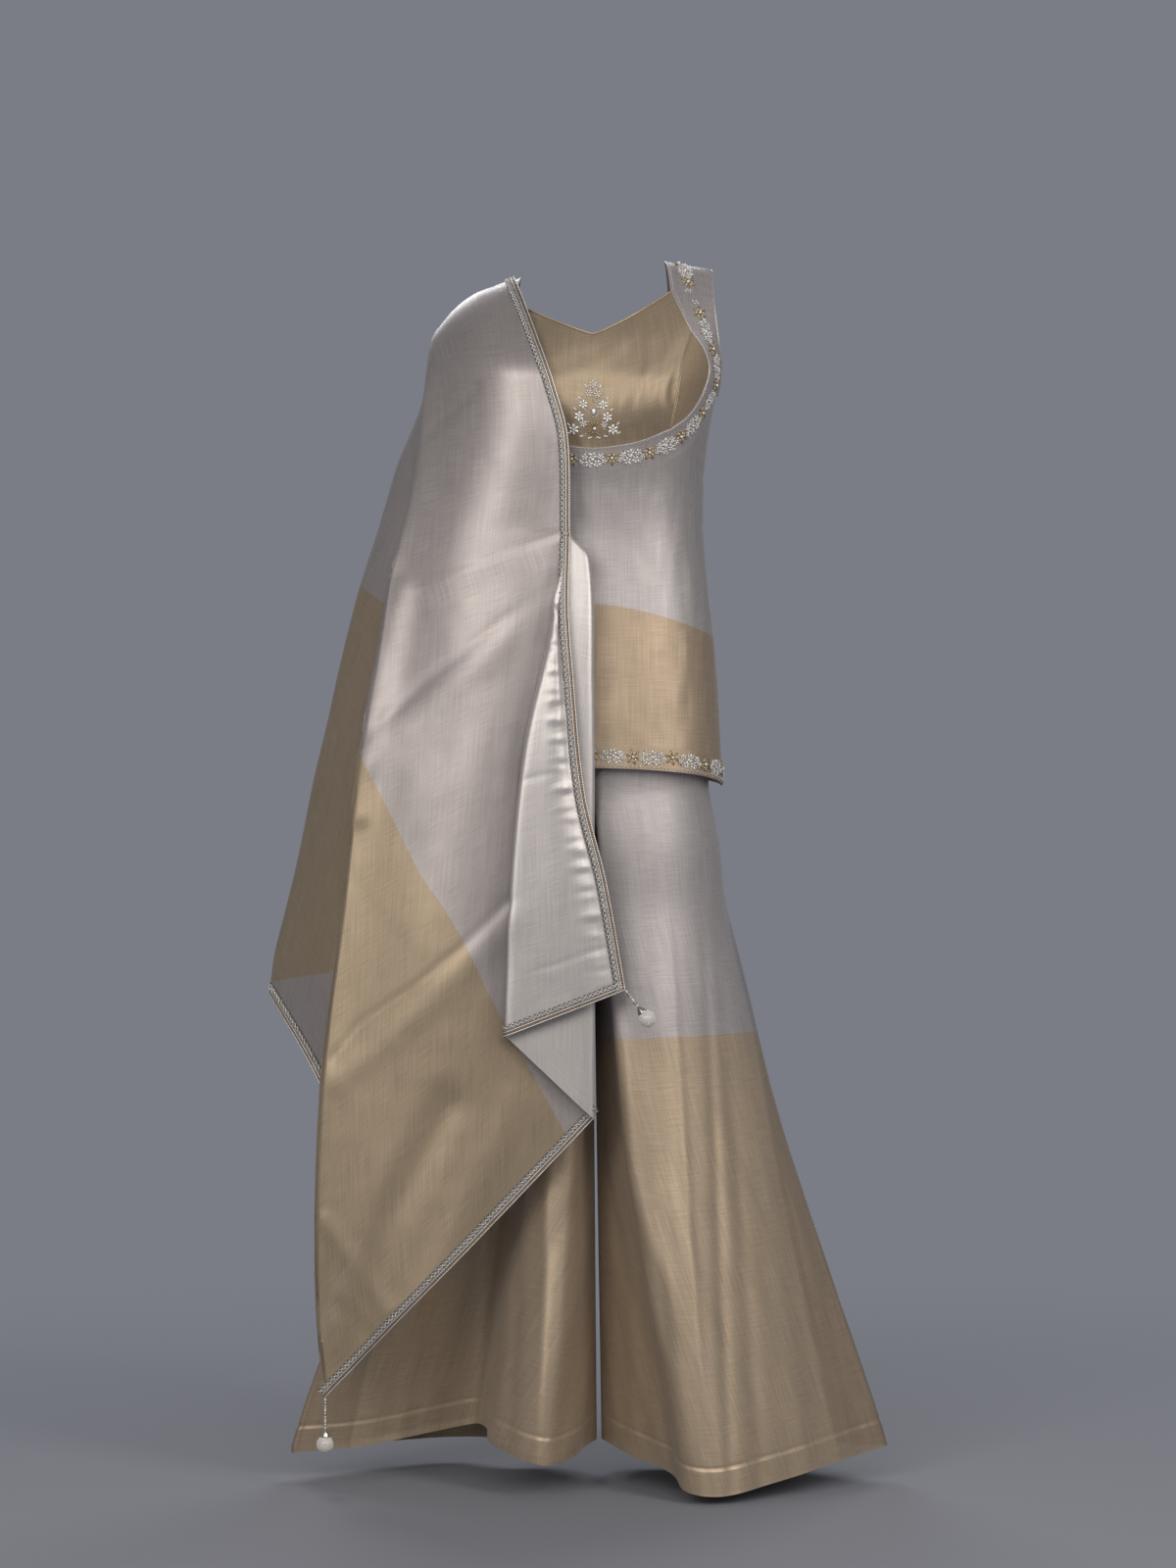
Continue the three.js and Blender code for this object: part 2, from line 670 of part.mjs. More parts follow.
const yokeBackRows = Array.from({ length: STEPS.yokeBack + 1 }, (_, r) => {
  const t = r / STEPS.yokeBack;
  return backTop.map((start, k) => (k === 0 ? { angle: 90, z: sideZ(shares[r]) } : between(start, backLow[k], t)));
});
const bothBack = (row) => [
  ...row.map((s) => place(s, 1)),
  ...[...row].reverse().slice(1).map((s) => place(s, -1)),
];
const bodyBack = backRows.map(bothBack);
top.lay('body_back', bodyBack);
top.lay('yoke_back', yokeBackRows.map(bothBack));

const GOLD_PIECES = ['yoke_front_centre', 'yoke_front_side_left', 'yoke_front_side_right', 'yoke_back'];
for (const [name, geometry] of top.solids()) {
  show(name, geometry, GOLD_PIECES.includes(name) ? GOLD : SILVER);
}

// The embroidered strip along the hem, laid on the last stretch of the two body panels
function hemBorder(rows) {
  const last = rows.at(-1);
  const above = rows.at(-2);
  const share = HEM_BORDER / last[columns].distanceTo(above[columns]);
  const strip = [0, 0.5, 1].map((t) => last.map((p, c) => p.clone().lerp(above[c], share * (1 - t))));
  return overlay(strip, gridNormals(strip));
}
show('hem_border_front', hemBorder(bodyFront), BRAID);
show('hem_border_back', hemBorder(bodyBack), BRAID);

// Thin piping along the edge of the neck, laid on the yoke
function piping(edge, below, room) {
  const strip = [edge, edge.map((p, c) => p.clone().lerp(below[c], PIPING / p.distanceTo(below[c])))];
  return overlay(strip, gridNormals([edge, below]), room);
}
const neckFront = yokeRows.slice(0, 2).map(across);
show('neck_piping_front', piping(neckFront[0], neckFront[1], SEAM), SILVER);
const neckBack = yokeBackRows.slice(0, 2).map((row) =>
  bothBack(row).slice(columns - STEPS.backNeck, columns + STEPS.backNeck + 1));
show('neck_piping_back', piping(neckBack[0], neckBack[1], 2 * SEAM), SILVER);

// The palazzo: its hips follow the top, and each leg flares to the ring of its hem

function hipRing(z, angle) {
  const room = CLOTH + along(PALAZZO_ROOM, 'z', 'room', z);
  const held = Math.max(z, FLARE_Z);
  const half = along(TOP_WIDTH, 'z', 'half', held) - room;
  const side = Math.cos(rad(angle)) > 0 ? 'front' : 'back';
  const depth = along(TOP_DEPTH, 'z', side, held) - room;
  const sine = Math.sin(rad(angle));
  const cosine = Math.cos(rad(angle));
  const x = Math.sign(sine) * half * Math.pow(Math.abs(sine), 2 / RING_POWER);
  return point(x, -Math.sign(cosine) * depth * Math.pow(Math.abs(cosine), 2 / RING_POWER), z);
}

// A leg's D at the hips: from the side seam along the ring to the centre, then between the legs.
function hipHalf(side, back, z, share) {
  const mid = (LEG_GAP / 2) * side;
  const arc = Array.from({ length: ARC_STEPS + 1 }, (_, k) => {
    const turn = 90 - (90 * k) / ARC_STEPS;
    const p = hipRing(z, side * (back ? 180 - turn : turn));
    return point(Math.abs(p.x) < Math.abs(mid) ? mid : p.x, p.y, z);
  });
  const path = [...arc, point(mid, 0, z)];
  const lengths = [0];
  path.slice(1).forEach((p, k) => lengths.push(lengths[k] + p.distanceTo(path[k])));
  const ringLength = lengths[lengths.length - 2];
  const total = lengths.at(-1);
  const reach = mix(ringLength, total, ease((CROTCH.from - z) / (CROTCH.from - CROTCH.to)));
  const want = share * reach;
  let k = 0;
  while (k < path.length - 2 && lengths[k + 1] < want) k += 1;
  const t = (want - lengths[k]) / (lengths[k + 1] - lengths[k]);
  return path[k].clone().lerp(path[k + 1], clamp(t, 0, 1));
}

function hemHalf(hem, back, steps) {
  const rows = back ? [hem[0], ...hem.slice(INSEAM_POINT).reverse()] : hem.slice(0, INSEAM_POINT + 1);
  return divide(rows, steps, ['x', 'y', 'z']);
}

function legPanel(hem, side, back) {
  const low = hemHalf(hem, back, LEG_STEPS);
  const bottom = hem[0].z;
  return Array.from({ length: LEG_ROWS + 1 }, (_, r) => {
    const t = r / LEG_ROWS;
    const level = mix(WAIST_Z, bottom, t);
    const flare = (along(FLARE, 'z', 'out', level) - FLARE[0].out) / (FLARE.at(-1).out - FLARE[0].out);
    const weight = r === LEG_ROWS ? 1 : clamp(flare, 0, 1);
    return low.map((foot, c) => {
      const z = mix(WAIST_Z, foot.z, t);
      const hip = hipHalf(side, back, Math.max(z, HIP_END_Z), c / LEG_STEPS);
      return point(mix(hip.x, foot.x, weight), mix(hip.y, foot.y, weight), z);
    });
  });
}

const palazzo = new Cloth(CLOTH);
for (const { name, side } of SIDES) {
  const hem = side > 0 ? LEFT_HEM : RIGHT_HEM;
  const front = legPanel(hem, side, false);
  const back = legPanel(hem, side, true);
  palazzo.lay(`leg_${name}_front`, front.map((row) => turned(row, -side)));
  palazzo.lay(`leg_${name}_back`, back.map((row) => turned(row, side)));
}
for (const [name, geometry] of palazzo.solids()) {
  show(name, geometry, GOLD);
}

const waist = new Cloth(WAISTBAND);
waist.lay('waistband', [WAIST_TOP_Z, WAIST_Z + SEAM].map((z) =>
  Array.from({ length: WAIST_STEPS + 1 }, (_, k) => hipRing(z, (360 * (k % WAIST_STEPS)) / WAIST_STEPS))));
show('waistband', waist.solids().get('waistband'), SILVER);

// The stole

const onLine = (line, z) => point(along(line, 'z', 'x', z), along(line, 'z', 'y', z), z);

// Over the shoulder: turn -1 is the chest, 0 the ridge and 1 the shoulder blade.
function overShoulder(u, turn) {
  const ridgeX = mix(RIDGE[0].x, RIDGE.at(-1).x, u);
  const ridge = { x: ridgeX, z: along(RIDGE, 'x', 'z', ridgeX) };
  const foot = turn < 0 ? mainPoint(u, 0) : backPoint(u, 0);
  const swing = (Math.abs(turn) * Math.PI) / 2;
  const rise = Math.pow(Math.cos(swing), 2 / SHOULDER_POWER);
  const out = Math.pow(Math.sin(swing), 2 / SHOULDER_POWER);
  return point(mix(foot.x, ridge.x, rise), foot.y * out, mix(foot.z, ridge.z, rise));
}

const mainEnds = [PLEAT_RIGHT.at(-1).z, FOLD_FRONT.at(-1).z];
const pleatShare = (PLEAT_RIGHT[0].z - CHEST_Z) / (mainEnds[0] - CHEST_Z);
const mainShare = (r) =>
  (r <= PLEAT_ROW
    ? (pleatShare * r) / PLEAT_ROW
    : mix(pleatShare, 1, (r - PLEAT_ROW) / (FALL_ROWS - PLEAT_ROW)));

// Main layer: u goes from the trimmed edge, or the pleat, to the front fold, and t from chest to end.
function mainPoint(u, t) {
  const rightZ = mix(CHEST_Z, mainEnds[0], t);
  const right = onLine(t < pleatShare - 1e-9 ? EDGE_UPPER : PLEAT_RIGHT, rightZ);
  const left = onLine(FOLD_FRONT, mix(CHEST_Z, mainEnds[1], t));
  if (u === 0) return right;
  if (u === 1) return left;
  const p = right.clone().lerp(left, u);
  const bust = Math.sin(Math.PI * Math.pow(u, BUST_SWELL.lean));
  const overBust = BUST_SWELL.out * Math.pow(bust, BUST_SWELL.power);
  const below = Math.pow(Math.sin(Math.PI * u), LOW_SWELL);
  p.y -= MAIN_BULGE * mix(overBust, below, ease((t - SWELL_FROM) / (pleatShare - 0.05)));
  return p;
}

function backPoint(u, t) {
  const bottom = along(BACK_BOTTOM.map((z, k) => ({ u: k / STOLE_COLUMNS, z })), 'u', 'z', u);
  const z = mix(CHEST_Z, bottom, t);
  const right = onLine(BACK_EDGE, z);
  const left = onLine(FOLD_BACK, z);
  if (u === 0) return right;
  if (u === 1) return left;
  const p = right.clone().lerp(left, u);
  const swell = Math.sin(Math.PI * u);
  const wave = Math.sin(2 * Math.PI * BACK_FOLDS.count * u) * ease(t * BACK_FOLDS.grow);
  p.y += swell * (mix(BACK_BULGE.upper, BACK_BULGE.lower, t) + BACK_FOLDS.out * wave);
  return p;
}

const stole = new Cloth(STOLE);
const columnShares = Array.from({ length: STOLE_COLUMNS + 1 }, (_, c) => c / STOLE_COLUMNS);
const fall = Array.from({ length: FALL_ROWS + 1 }, (_, r) => r);
const mainRows = fall.map((r) => columnShares.map((u) => mainPoint(u, mainShare(r))));
const backFall = fall.map((r) => columnShares.map((u) => backPoint(u, r / FALL_ROWS)));
const shoulderRows = Array.from({ length: 2 * SHOULDER_ROWS + 1 }, (_, r) =>
  columnShares.map((u) => overShoulder(u, r / SHOULDER_ROWS - 1)));
shoulderRows[0] = mainRows[0];
shoulderRows[2 * SHOULDER_ROWS] = backFall[0];
const leftward = (rows) => rows.map((row) => [...row].reverse());
stole.lay('dupatta_front', leftward(mainRows));
stole.lay('dupatta_shoulder', leftward([...shoulderRows].reverse()));
stole.lay('dupatta_back', backFall);

// The pleat beside the trimmed edge: a middle layer that shows its reverse, and a front strip
const roundingOf = (a, b) => Math.min(FOLD_ROUND, Math.abs(a.x - b.x) / 3) / Math.abs(a.x - b.x);
const pleatRows = Array.from({ length: FALL_ROWS - PLEAT_ROW + 1 }, (_, k) => {
  const t = k / (FALL_ROWS - PLEAT_ROW);
  const main = mainRows[PLEAT_ROW + k][0];
  const fold = onLine(PLEAT_LEFT, mix(PLEAT_LEFT[0].z, PLEAT_LEFT.at(-1).z, t));
  const edge = onLine(EDGE_LOWER, mix(EDGE_LOWER[0].z, EDGE_LOWER.at(-1).z, t));
  return { main, fold, edge };
});
const middleRows = pleatRows.map(({ main, fold }) => {
  const round = roundingOf(main, fold);
  const mid = mix(main.y, fold.y, MIDDLE_DEPTH);
  return [0, round, 0.5, 1 - round, 1].map((s) => {
    const p = main.clone().lerp(fold, s);
    if (s > 0 && s < 1) p.y = mid;
    return p;
  });
});
const stripRows = pleatRows.map(({ main, fold, edge }) => {
  const layer = Math.abs(main.y - fold.y) / 2;
  return [0, roundingOf(fold, edge), ...STRIP_SHARES, 1].map((s) => {
    const p = fold.clone().lerp(edge, s);
    if (s > 0 && s < 1) p.y = mix(fold.y - layer, edge.y, s);
    return p;
  });
});
stole.lay('dupatta_front_middle', middleRows);
stole.lay('dupatta_front_edge', stripRows);

// The side: behind the front fold the cloth runs in, turns, and comes out over the arm to the back
const endCurve = shoulderRows.map((row) => row[STOLE_COLUMNS]);
function sideTarget(c, z) {
  const front = onLine(FOLD_FRONT, z);
  const arm = onLine(ARM_LINE, z);
  const back = onLine(FOLD_BACK, z);
  const half = STOLE_COLUMNS / 2;
  const turn = (Math.abs(c - half) / half) * (Math.PI / 2);
  const end = c < half ? front : back;
  const smooth = point(mix(end.x, arm.x, Math.cos(turn)), mix(arm.y, end.y, Math.sin(turn)), z);
  if (c >= half) return smooth;
  const inside = point(front.x + TUCK, front.y + TUCK_IN, z);
  const tucked = [
    front,
    point(front.x + FOLD_ROUND, front.y + FOLD_ROUND, z),
    point(inside.x - FOLD_ROUND, inside.y - FOLD_ROUND, z),
    inside,
    point(mix(inside.x, arm.x, 0.5), mix(inside.y, arm.y, 0.2) + 5, z),
  ][c];
  return smooth.lerp(tucked, ease((TUCK_START.z - z) / TUCK_START.over));
}
const sideRows = fall.map((r) =>
  endCurve.map((start, c) => {
    if (c === 0) return mainRows[r][STOLE_COLUMNS];
    if (c === STOLE_COLUMNS) return backFall[r][STOLE_COLUMNS];
    const t = r / FALL_ROWS;
    const z = mix(start.z, SIDE_BOTTOM[c], t);
    const target = sideTarget(c, z);
    return start.clone().lerp(target, ease(t * SIDE_SETTLES)).setZ(z);
  }));
stole.lay('dupatta_side', leftward(sideRows));
for (const [name, geometry] of stole.solids()) {
  show(name, geometry, SILVER);
}

// Braid along the edges and ends of the stole, sewn on its face and as wide all along
function braid(line, inward, facing, room = 1.5 * SEAM) {
  const normals = line.map((p, k) => {
    const run = line[Math.min(line.length - 1, k + 1)].clone().sub(line[Math.max(0, k - 1)]);
    const normal = run.cross(inward[k].clone().sub(p)).normalize();
    return normal.dot(facing(p)) < 0 ? normal.negate() : normal;
  });
  const inner = line.map((p, k) => {
    const share = Math.min(BRAID_REACH, TRIM_WIDTH / p.distanceTo(inward[k]));
    return p.clone().lerp(inward[k], share);
  });
  const face = line[1].clone().sub(line[0]).cross(inner[0].clone().sub(line[0]));
  const flip = normals[0].dot(face) > 0;
  return overlay([line, inner], (r, c) => normals[c].clone(), room, flip);
}
const toFront = () => point(0, -1, 0);
const toBack = () => point(0, 1, 0);
const fromArm = (p) => point(p.x - ARM_AXIS.x, p.y - ARM_AXIS.y, 0);
const fromShoulder = (p) => point(0, p.y, p.z - CHEST_Z);
const column = (rows, c) => rows.map((row) => row[c]);
const endOf = (rows, from, to) => [rows.at(-1).slice(from, to), rows.at(-2).slice(from, to)];
const pleatTop = PLEAT_ROW + 1;
const overNeck = [...[...shoulderRows].reverse(), ...mainRows.slice(1, pleatTop)];
const BRAIDS = [
  ['trim_neck', column(overNeck, 0), column(overNeck, 1), fromShoulder],
  ['trim_front_edge', column(stripRows, STRIP_STEPS), column(stripRows, STRIP_STEPS - 1), toFront],
  ['trim_front_end_edge', ...endOf(stripRows, 1, STRIP_STEPS), toFront],
  ['trim_front_end_middle', ...endOf(middleRows, 1, STRIP_STEPS), toFront, STOLE + 2 * SEAM],
  ['trim_front_end', ...endOf(mainRows, 1, STOLE_COLUMNS), toFront],
  ['trim_side_edge', ...endOf(sideRows, 4, STOLE_COLUMNS), fromArm, 2 * SEAM],
  ['trim_back_end', ...endOf(backFall, 1, STOLE_COLUMNS), toBack],
  ['trim_back_edge', column(backFall, 0).slice(1, -1), column(backFall, 1).slice(1, -1), toBack],
];
for (const [name, line, inward, facing, room] of BRAIDS) {
  show(name, braid(line, inward, facing, room), BRAID);
}

// A tassel hangs from each corner: a beaded cord, a metal cap and a ball covered with small beads
function tassel(cordLength) {
  const { cord, bead, cap, lip, ball } = TASSEL;
  const profile = [[0, 0], [cord, -SEAM]];
  const beads = Math.round(cordLength / TASSEL.beadStep);
  for (let k = 0; k < beads; k += 1) {
    const mid = -((k + 0.5) * cordLength) / beads;
    profile.push([cord, mid + bead], [bead, mid], [cord, mid - bead]);
  }
  const low = -cordLength - TASSEL.capLong;
  const middle = low - ball * BALL_SUNK;
  profile.push([cord, -cordLength], [cap, mix(-cordLength, low, 0.6)], [lip, low]);
  for (const angle of BALL_RINGS) {
    profile.push([ball * Math.sin(rad(angle)), middle + ball * Math.cos(rad(angle))]);
  }
  profile.push([0, middle - ball]);
  const outline = profile.reverse().map(([r, z]) => new THREE.Vector2(r, z));
  return new THREE.LatheGeometry(outline, TASSEL.sides).rotateX(Math.PI / 2);
}
const TASSELS = [
  { name: 'tassel_front_left', corner: stripRows.at(-1).at(-1), lean: point(0.6, 0, -0.8), cord: 26 },
  { name: 'tassel_front_right', corner: mainRows.at(-1).at(-1), lean: point(0, 0, -1), cord: 40 },
  { name: 'tassel_back_right', corner: backFall.at(-1)[BACK_CORNER], lean: point(0, 0, -1), cord: 40 },
  { name: 'tassel_back_left', corner: backFall.at(-1)[0], lean: point(0, 0, -1), cord: 40 },
];
for (const { name, corner, lean, cord } of TASSELS) {
  const turn = new THREE.Quaternion().setFromUnitVectors(point(0, 0, -1), lean);
  const geometry = tassel(cord).applyQuaternion(turn);
  const start = corner.clone().addScaledVector(lean, 0.5);
  show(name, geometry.translate(start.x, start.y, start.z), PEARL, 0.3, 0.1);
}

export default group;
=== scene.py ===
import math
import random

import bmesh
import bpy
import numpy as np
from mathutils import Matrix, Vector, kdtree


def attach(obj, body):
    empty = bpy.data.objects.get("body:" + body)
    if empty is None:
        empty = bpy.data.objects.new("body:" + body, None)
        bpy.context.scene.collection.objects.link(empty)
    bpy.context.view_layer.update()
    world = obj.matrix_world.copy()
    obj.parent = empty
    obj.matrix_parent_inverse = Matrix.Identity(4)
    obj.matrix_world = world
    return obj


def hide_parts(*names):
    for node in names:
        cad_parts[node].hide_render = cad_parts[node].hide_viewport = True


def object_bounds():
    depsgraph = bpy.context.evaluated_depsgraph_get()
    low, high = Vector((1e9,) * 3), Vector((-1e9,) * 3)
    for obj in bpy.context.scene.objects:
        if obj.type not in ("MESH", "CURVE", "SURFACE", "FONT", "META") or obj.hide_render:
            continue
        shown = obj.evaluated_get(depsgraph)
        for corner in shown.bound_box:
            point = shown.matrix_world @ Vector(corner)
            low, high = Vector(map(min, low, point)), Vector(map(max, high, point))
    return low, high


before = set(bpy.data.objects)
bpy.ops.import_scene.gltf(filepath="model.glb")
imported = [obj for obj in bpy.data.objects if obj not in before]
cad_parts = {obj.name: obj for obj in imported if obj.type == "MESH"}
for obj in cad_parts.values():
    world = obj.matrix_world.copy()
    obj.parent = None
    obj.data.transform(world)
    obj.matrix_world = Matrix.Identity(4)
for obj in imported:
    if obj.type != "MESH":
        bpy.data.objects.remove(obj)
CAD_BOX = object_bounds()

# The studio: a pale floor, broad soft lights from both sides, and a camera 4.5 m away at the height
# of the knees, which looks up a little.
scene = bpy.context.scene
scene.view_settings.view_transform = "Standard"
FLOOR_DROP = 0.012
FLOOR_Z = CAD_BOX[0].z - FLOOR_DROP

camera_data = bpy.data.cameras.new("camera")
camera_data.lens = 81.3
camera_data.sensor_width = 36.0
camera = bpy.data.objects.new("camera", camera_data)
camera.location = (-0.006, -4.5, -0.760)
camera.rotation_euler = (math.radians(90 + 1.27), 0, 0)
scene.collection.objects.link(camera)
scene.camera = camera


def linear(colour):
    """The linear values of an sRGB hex colour."""
    parts = [int(colour[i:i + 2], 16) / 255 for i in (1, 3, 5)]
    return [c / 12.92 if c <= 0.04045 else ((c + 0.055) / 1.055) ** 2.4 for c in parts] + [1.0]


def node(tree, kind, inputs=None, **settings):
    """Adds a node with its settings; an input is a value or the socket that feeds it."""
    made = tree.nodes.new(kind)
    for name, value in settings.items():
        setattr(made, name, value)
    for name, value in (inputs or {}).items():
        if isinstance(value, bpy.types.NodeSocket):
            tree.links.new(value, made.inputs[name])
        else:
            made.inputs[name].default_value = value
    return made


def new_material(name):
    material = bpy.data.materials.new(name)
    material.use_nodes = True
    material.node_tree.nodes.clear()
    return material, material.node_tree


# Paper of the same tone all round: past 2 m it gives the room's own light, so no horizon shows.
ROOM_TONE = linear("#7a7d86")
floor_material, tree = new_material("floor_matt_paper")
grain = node(tree, "ShaderNodeTexNoise", {"Scale": 3.0, "Detail": 2.0})
tone = node(tree, "ShaderNodeMix", {0: grain.outputs[0], 6: linear("#7f8086"), 7: linear("#84858a")},
            data_type="RGBA")
paper = node(tree, "ShaderNodeBsdfPrincipled", {"Base Color": tone.outputs[2], "Roughness": 0.8})
spot = node(tree, "ShaderNodeNewGeometry")
far = node(tree, "ShaderNodeVectorMath", {0: spot.outputs["Position"], 1: (0, 0, FLOOR_Z)},
           operation="DISTANCE")
fade = node(tree, "ShaderNodeMapRange", {"Value": far.outputs["Value"], "From Min": 0.5, "From Max": 2.4},
            interpolation_type="SMOOTHSTEP")
glow = node(tree, "ShaderNodeEmission", {"Color": ROOM_TONE, "Strength": 1.0})
sweep = node(tree, "ShaderNodeMixShader", {0: fade.outputs[0], 1: paper.outputs[0], 2: glow.outputs[0]})
node(tree, "ShaderNodeOutputMaterial", {"Surface": sweep.outputs[0]})

FLOOR_HALF = 30
floor_mesh = bpy.data.meshes.new("floor")
SQUARE = ((-1, -1), (1, -1), (1, 1), (-1, 1))
floor_mesh.from_pydata([(x * FLOOR_HALF, y * FLOOR_HALF, FLOOR_Z) for x, y in SQUARE], [], [(0, 1, 2, 3)])
floor_mesh.materials.append(floor_material)
floor = bpy.data.objects.new("floor", floor_mesh)
scene.collection.objects.link(floor)

world = bpy.data.worlds.new("soft_room")
world.use_nodes = True
world.node_tree.nodes.clear()
room = node(world.node_tree, "ShaderNodeBackground", {"Color": ROOM_TONE, "Strength": 1.0})
node(world.node_tree, "ShaderNodeOutputWorld", {"Surface": room.outputs[0]})
scene.world = world

# name, place, size, watts, colour
LIGHTS = [
    ("left_softbox", (-2.2, -3.6, 0.5), (1.4, 2.6), 57, "#fffcf8"),
    ("right_softbox", (2.6, -3.0, 0.9), (1.2, 2.4), 65, "#fffcf8"),
    ("front_softbox", (-0.2, -4.4, 1.4), (3.4, 2.4), 66, "#fffdfa"),
    ("back_left", (-1.3, 3.2, 2.1), (1.6, 1.6), 40, "#fafbff"),
    ("back_right", (1.3, 3.2, 2.1), (1.6, 1.6), 40, "#fafbff"),
]
for name, place, size, watts, colour in LIGHTS:
    light = bpy.data.lights.new(name, "AREA")
    light.shape = "RECTANGLE"
    light.size = size[0]
    light.size_y = size[1]
    light.energy = watts
    light.color = linear(colour)[:3]
    lamp = bpy.data.objects.new(name, light)
    lamp.location = place
    lamp.rotation_euler = (Vector((0, 0, -0.75)) - Vector(place)).to_track_quat("-Z", "Y").to_euler()
    scene.collection.objects.link(lamp)

# The tissue: a light satin weave of fine silk-like warp with a metallic weft, silver in most of the
# cloth and gold in woven blocks. It gives soft broad gloss with sharp turns of tone at each fold, and
# slubs, thicker threads, show as faint streaks along the warp.


def tissue(name, light, dark, gold_light=None, gold_dark=None, rough=0.36, metal=0.62, sheer=None,
           matt=False):
    """Woven metallic tissue. Where gold colours are given, the mesh's block value picks them."""
    material, tree = new_material(name)
    uv = node(tree, "ShaderNodeUVMap", uv_map="cloth")
    # Slubs are 1 to 2 mm wide and 40 to 90 mm long; the threads between them, 0.15 mm apart, are
    # drawn 1.2 mm apart so that they show.
    slub_place = node(tree, "ShaderNodeMapping", {"Vector": uv.outputs[0], "Scale": (520, 14, 1)})
    slub = node(tree, "ShaderNodeTexNoise", {"Vector": slub_place.outputs[0], "Scale": 1.0, "Detail": 3.0})
    weft_place = node(tree, "ShaderNodeMapping", {"Vector": uv.outputs[0], "Scale": (30, 800, 1)})
    weft = node(tree, "ShaderNodeTexNoise", {"Vector": weft_place.outputs[0], "Scale": 1.0, "Detail": 2.0})
    threads = node(tree, "ShaderNodeMath", {0: slub.outputs[0], 1: weft.outputs[0]}, operation="ADD")
    streak = node(tree, "ShaderNodeMapRange",
                  {"Value": threads.outputs[0], "From Min": 0.62, "From Max": 1.38})
    colour = node(tree, "ShaderNodeMix", {0: streak.outputs[0], 6: linear(dark), 7: linear(light)},
                  data_type="RGBA").outputs[2]
    if gold_light:
        gold = node(tree, "ShaderNodeMix",
                    {0: streak.outputs[0], 6: linear(gold_dark), 7: linear(gold_light)},
                    data_type="RGBA")
        block = node(tree, "ShaderNodeAttribute", attribute_name="block")
        edge = node(tree, "ShaderNodeMapRange",
                    {"Value": block.outputs["Fac"], "From Min": -0.0006, "From Max": 0.0006})
        colour = node(tree, "ShaderNodeMix", {0: edge.outputs[0], 6: colour, 7: gold.outputs[2]},
                      data_type="RGBA").outputs[2]
    wear = node(tree, "ShaderNodeTexNoise", {"Vector": uv.outputs[0], "Scale": 16.0, "Detail": 2.0})
    gloss = node(tree, "ShaderNodeMapRange",
                 {"Value": wear.outputs[0], "To Min": rough - 0.05, "To Max": rough + 0.07})
    relief = node(tree, "ShaderNodeBump",
                  {"Height": threads.outputs[0], "Strength": 0.15, "Distance": 0.0006})
    direction = node(tree, "ShaderNodeTangent", direction_type="UV_MAP", uv_map="cloth")
    cloth_shader = node(tree, "ShaderNodeBsdfPrincipled", {
        "Base Color": colour,
        "Roughness": gloss.outputs[0],
        "Normal": relief.outputs[0],
        "Metallic": metal,
        "Sheen Weight": 0.12,
    })
    if not matt:
        cloth_shader.inputs["Anisotropic"].default_value = 0.5
        tree.links.new(direction.outputs[0], cloth_shader.inputs["Tangent"])
    surface = cloth_shader.outputs[0]
    if sheer:
        thin = node(tree, "ShaderNodeAttribute", attribute_name="sheer")
        clear = node(tree, "ShaderNodeMath", {0: thin.outputs["Fac"], 1: sheer}, operation="MULTIPLY")
        opaque = node(tree, "ShaderNodeMath", {0: 1.0, 1: clear.outputs[0]}, operation="SUBTRACT")
        tree.links.new(opaque.outputs[0], cloth_shader.inputs["Alpha"])
    node(tree, "ShaderNodeOutputMaterial", {"Surface": surface})
    return material


# The top's form: half width and depth of its rings by height, a plain general shape. The cloth is cut
# and sewn to lie on it, so each panel is a net of points on this surface.
TOP_WIDTH = [
    (20, 172), (-100, 168), (-145, 164), (-185, 153), (-243, 144), (-295, 141), (-361, 142),
    (-451, 151.5), (-527, 158), (-610, 163), (-670, 165),
]
TOP_FRONT = [
    (-160, 112), (-200, 113), (-243, 105), (-295, 95), (-361, 91), (-451, 96), (-527, 103),
    (-610, 110), (-670, 114),
]
TOP_BACK = [
    (-160, 98), (-200, 97), (-243, 94), (-295, 90), (-361, 90), (-451, 102), (-527, 112),
    (-610, 118), (-670, 121),
]
RING_POWER = 2.4
CHEST_Z = -160
SHOULDER_POWER = 1.5
SHOULDER_IN = (91, 6)
SHOULDER_OUT = (152, -5)
RIGHT_DROP = [(0, 1), (45, 0.94), (91, 0.88), (152, 0.787), (175, 0.76)]
HEM_CENTRE_Z = -643
HEM_SIDE_DROP = 19
HEM_CURVE = 1.5


def mix(a, b, t):
    return a + (b - a) * t


def ease(t):
    t = np.clip(t, 0, 1)
    return t * t * (3 - 2 * t)


def bell(v):
    return np.exp(-np.square(v))


def read(rows, at):
    """A value read off a table of (place, value) rows, smooth between them and even beyond."""
    place, value = np.array(sorted(rows), float).T
    count = len(place)
    low = np.maximum(np.arange(count) - 1, 0)
    high = np.minimum(np.arange(count) + 1, count - 1)
    slope = (value[high] - value[low]) / (place[high] - place[low])
    at = np.clip(at, place[0], place[-1])
    k = np.clip(np.searchsorted(place, at, side="right") - 1, 0, count - 2)
    step = place[k + 1] - place[k]
    t = (at - place[k]) / step
    a, b = value[k], value[k + 1]
    da, db = slope[k] * step, slope[k + 1] * step
    return a + t * (da + t * (3 * (b - a) - 2 * da - db + t * (2 * (a - b) + da + db)))


def run_of(points):
    """The distance along a line at each of its points."""
    return np.concatenate([[0], np.cumsum(np.linalg.norm(np.diff(points, axis=0), axis=1))])


